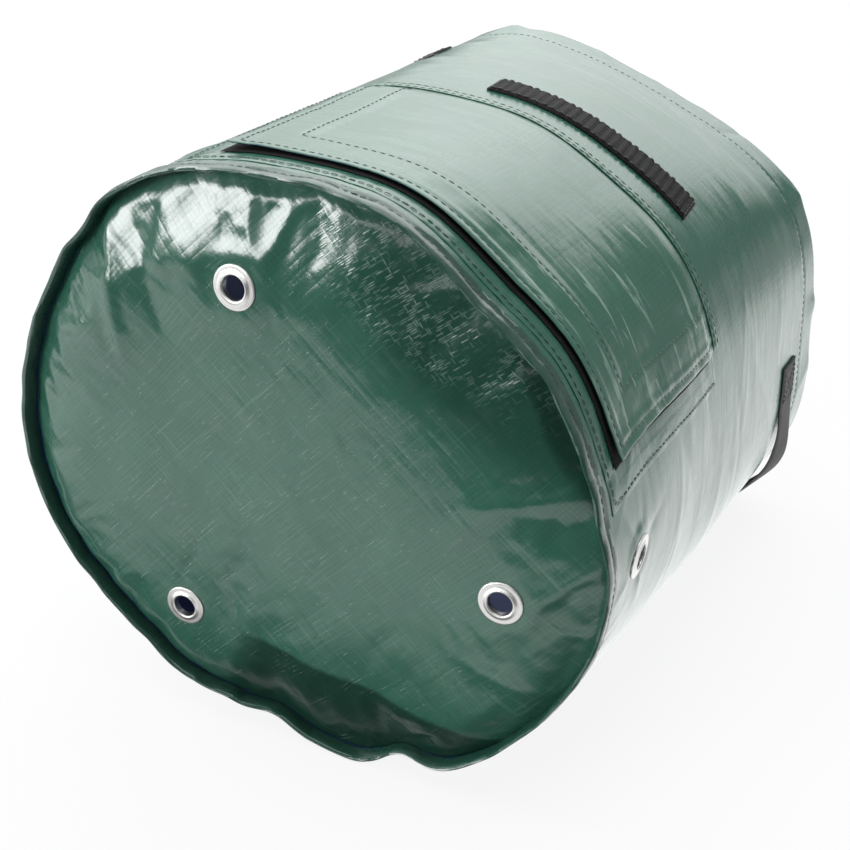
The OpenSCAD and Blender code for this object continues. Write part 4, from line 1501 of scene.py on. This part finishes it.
def sew_wall():
    sew("rim_stitching", [(np.linspace(0, 2 * PI, 1500), RIM_ROW_Z, 0.00062, 101)])
    hem = np.linspace(radians(94.6), radians(445), 1400)
    sew("top_hem_stitching", [(hem, TOP_HEM_Z, -0.00005, 102)])
    up = np.linspace(0.012, 0.348, 300)
    sew("back_seam_stitching", [(radians(a), up, 0.00072, 103) for a in (87.4, 92.6)])


def sew_facing():
    side = FACING_A - 0.003 / RADIUS
    up = np.linspace(facing_lo.z + 0.004, facing_hi.z - 0.001, 200)
    rows = [(np.linspace(-side, side, 400) + FRONT, facing_lo.z + 0.003, 0.00066, 104)]
    rows += [(FRONT + sign * side, up, 0.00066, 105) for sign in (-1, 1)]
    sew("facing_stitching", rows)


def sew_flap():
    rows = []
    for inset, seed in zip(FLAP_ROWS, (106, 107)):
        side, low = FLAP_A - inset / RADIUS, flap_lo.z + inset
        rows.append(on_surface(flap_off, np.linspace(-side, side, 400) + FRONT, low, seed))
        up = np.linspace(low, flap_hi.z - 0.002, 220)
        rows += [on_surface(flap_off, FRONT + sign * side, up, seed + 10 + sign)
                 for sign in (-1, 1)]
    sew("flap_stitching", rows, bend=FLAP_BEND)


def sew_header():
    along = np.linspace(-FLAP_A + 0.01, FLAP_A - 0.01, 400) + FRONT
    sew("header_stitching", [on_surface(header_off, along, z, 108) for z in HEADER_ROWS])


def sew_keeper():
    side = KEEPER_A - 0.0016 / RADIUS
    along = np.linspace(-side, side, 200) + FRONT
    up = np.linspace(keeper_lo.z + 0.002, keeper_hi.z - 0.002, 60)
    rows = [on_surface(keeper_off, along, z, 109)
            for z in (keeper_lo.z + 0.0014, keeper_hi.z - 0.0014)]
    # these two rows lie right on the strip
    for sign in (-1, 1):
        angle = FRONT + sign * side
        rows.append((angle, up, keeper_off(angle, up), 110))
    sew("keeper_stitching", rows, black=True, pitch=0.0036, length=0.0028)


sew_wall()
sew_facing()
sew_flap()
sew_header()
sew_keeper()

# --------------------------------------------------------- floor, sky, camera
UP = np.array((-0.4865, -0.8737, 0.0))      # away from the floor
UP /= np.linalg.norm(UP)
AXIS = np.array((0.0, 0.0, 1.0))            # along the floor, with the bag's axis
ACROSS = np.cross(AXIS, UP)                 # along the floor, towards +X


def lowest(piece):
    points = np.zeros(len(piece.data.vertices) * 3, np.float32)
    piece.data.vertices.foreach_get("co", points)
    return float((points.reshape(-1, 3) @ UP).min())


def floor_material():
    """Pale to the camera; the bag mirrors a brightness that varies over the floor."""
    material, net = new_material("floor_pale")
    geometry = net.new("ShaderNodeNewGeometry")
    rays = net.new("ShaderNodeLightPath")
    place = geometry.outputs["Position"]
    mottle = net.noise(place, scale=6.0, detail=3.0, dims="3D")
    color = net.mix_color(mottle, (0.060, 0.060, 0.061), (0.066, 0.066, 0.067))
    diffuse = net.out("ShaderNodeBsdfDiffuse", 0, {"Color": color})
    glow = net.out("ShaderNodeEmission", 0, {"Strength": 0.88})
    seen = net.out("ShaderNodeAddShader", 0, {0: diffuse, 1: glow})
    # before the base (z < 0) a bright field ends along a slanting edge, with a dark band in it
    z = net.dot(place, AXIS)
    across = net.dot(place, ACROSS)
    edge = (z + 0.35) + across * -0.48
    lit = edge.ramp(-0.07, 0.06) * (1.0 - z.ramp(-0.15, -0.05) * z.ramp(0.04, -0.02))
    base_side = net.mix(lit, 0.10, 1.85)
    # beside the wall (z > 0) it is brighter where it is met at a steeper angle
    wall_side = net.mix(net.dot(geometry.outputs["Incoming"], UP).ramp(0.16, 0.30), 0.55, 1.75)
    strength = net.mix(z.ramp(0.0, 0.05), base_side, wall_side)
    mirrored = net.out("ShaderNodeEmission", 0, {"Strength": strength})
    shown = net.out("ShaderNodeMixShader", 0,
                    {0: rays.outputs["Is Camera Ray"], 1: mirrored, 2: seen})
    # neither its underside nor its shadow shows
    clear = net.out("ShaderNodeBsdfTransparent", 0)
    hidden = net.math("MAXIMUM", geometry.outputs["Backfacing"], rays.outputs["Is Shadow Ray"])
    final = net.out("ShaderNodeMixShader", 0, {0: hidden, 1: shown, 2: clear})
    net.new("ShaderNodeOutputMaterial", {0: final})
    return material


def build_floor():
    level = min(lowest(piece) for piece in (wall_piece, base_piece, binding_piece))
    origin = UP * (level - 0.0006)
    count = 30
    points = [tuple(origin + ACROSS * x + AXIS * z) for x in np.linspace(-4, 4, count)
              for z in np.linspace(-1.05, 5, count)]
    mesh = bpy.data.meshes.new("floor")
    mesh.from_pydata(points, [], int_lists(grid_faces(count, count)))
    floor = bpy.data.objects.new("floor", mesh)
    bpy.context.scene.collection.objects.link(floor)
    if mesh.polygons[0].normal.dot(Vector(UP)) < 0:
        mesh.flip_normals()
    mesh.materials.append(floor_material())


def build_world():
    """Studio of soft boxes drawn on the sky, in degrees; white to the camera."""
    world = bpy.data.worlds.new("studio")
    bpy.context.scene.world = world
    world.use_nodes = True
    net = Net(world.node_tree)
    direction = net.out("ShaderNodeTexCoord", "Generated")
    up, ahead, across = (net.dot(direction, axis) for axis in (UP, AXIS, ACROSS))
    to_degrees = 180 / PI
    elevation = net.math("ARCSINE", up) * to_degrees
    # azimuths from +Z and from -Z, both growing towards +X
    from_mouth = net.math("ARCTAN2", across, ahead) * to_degrees
    from_base = net.math("ARCTAN2", across, ahead * -1.0) * to_degrees
    # large box on the mouth's side: a sharp edge at 17.5, brighter towards its top
    large = (17.5 - from_mouth).ramp(-1.2, 1.2) * elevation.ramp(-1.0, 3.0)
    large = large * elevation.ramp(60.0, 50.0)
    large = large * from_mouth.ramp(-120.0, -100.0)
    power = net.mix(elevation.ramp(12.0, 28.0), 1.62, 3.7)
    power = power * net.mix(from_mouth.ramp(-18.0, -34.0), 1.0, 0.82)
    # dim fill on the +X side, and a cap overhead
    fill = from_mouth.ramp(20.0, 45.0) * (from_mouth.ramp(150.0, 120.0) * 0.45)
    cap = elevation.ramp(56.0, 66.0) * 3.5
    # low strip on the base's side; its -X part reaches down to the floor and has a hot core
    bottom = net.mix(from_base.ramp(-22.5, -25.5), 11.0, -0.5)
    low = ((from_base.ramp(-62.0, -58.0) * from_base.ramp(16.0, 12.0))
           * ((elevation - bottom).ramp(0.0, 1.5) * elevation.ramp(21.0, 18.0)))
    core = (from_base.ramp(-58.0, -54.0) * from_base.ramp(-25.5, -28.0)
            * elevation.ramp(0.0, 2.0))
    low = low * (5.0 + core * 15.0)
    ambient = 0.16
    sky = (ambient + fill) + (large * power + (low + cap))
    sky = net.mix(elevation.ramp(1.0, -1.0), sky, 0.10)
    strength = net.mix(net.out("ShaderNodeLightPath", "Is Camera Ray"), sky, 1.0)
    background = net.out("ShaderNodeBackground", 0,
                         {"Color": (1, 1, 1), "Strength": strength})
    net.new("ShaderNodeOutputWorld", {0: background})
    world.cycles.sampling_method = "MANUAL"
    world.cycles.sample_map_resolution = 1024


def build_camera():
    """Looks at the base and the flap from below the base."""
    data = bpy.data.cameras.new("camera")
    camera = bpy.data.objects.new("camera", data)
    bpy.context.scene.collection.objects.link(camera)
    right = Vector((0.78553222, -0.43747353, 0.43767116))
    top = Vector((-0.60969684, -0.66814589, 0.42643972))
    pose = Matrix((right, top, right.cross(top))).transposed().to_4x4()
    pose.translation = (0.0955, -0.4304, -0.4642)
    camera.matrix_world = pose
    data.lens = 58.7265882
    data.sensor_width = 36.0
    data.clip_start, data.clip_end = 0.01, 50
    bpy.context.scene.camera = camera


build_floor()
build_world()
build_camera()
view = bpy.context.scene.view_settings
view.view_transform = "Standard"
view.look = "None"
view.exposure = 0.0
view.gamma = 1.0
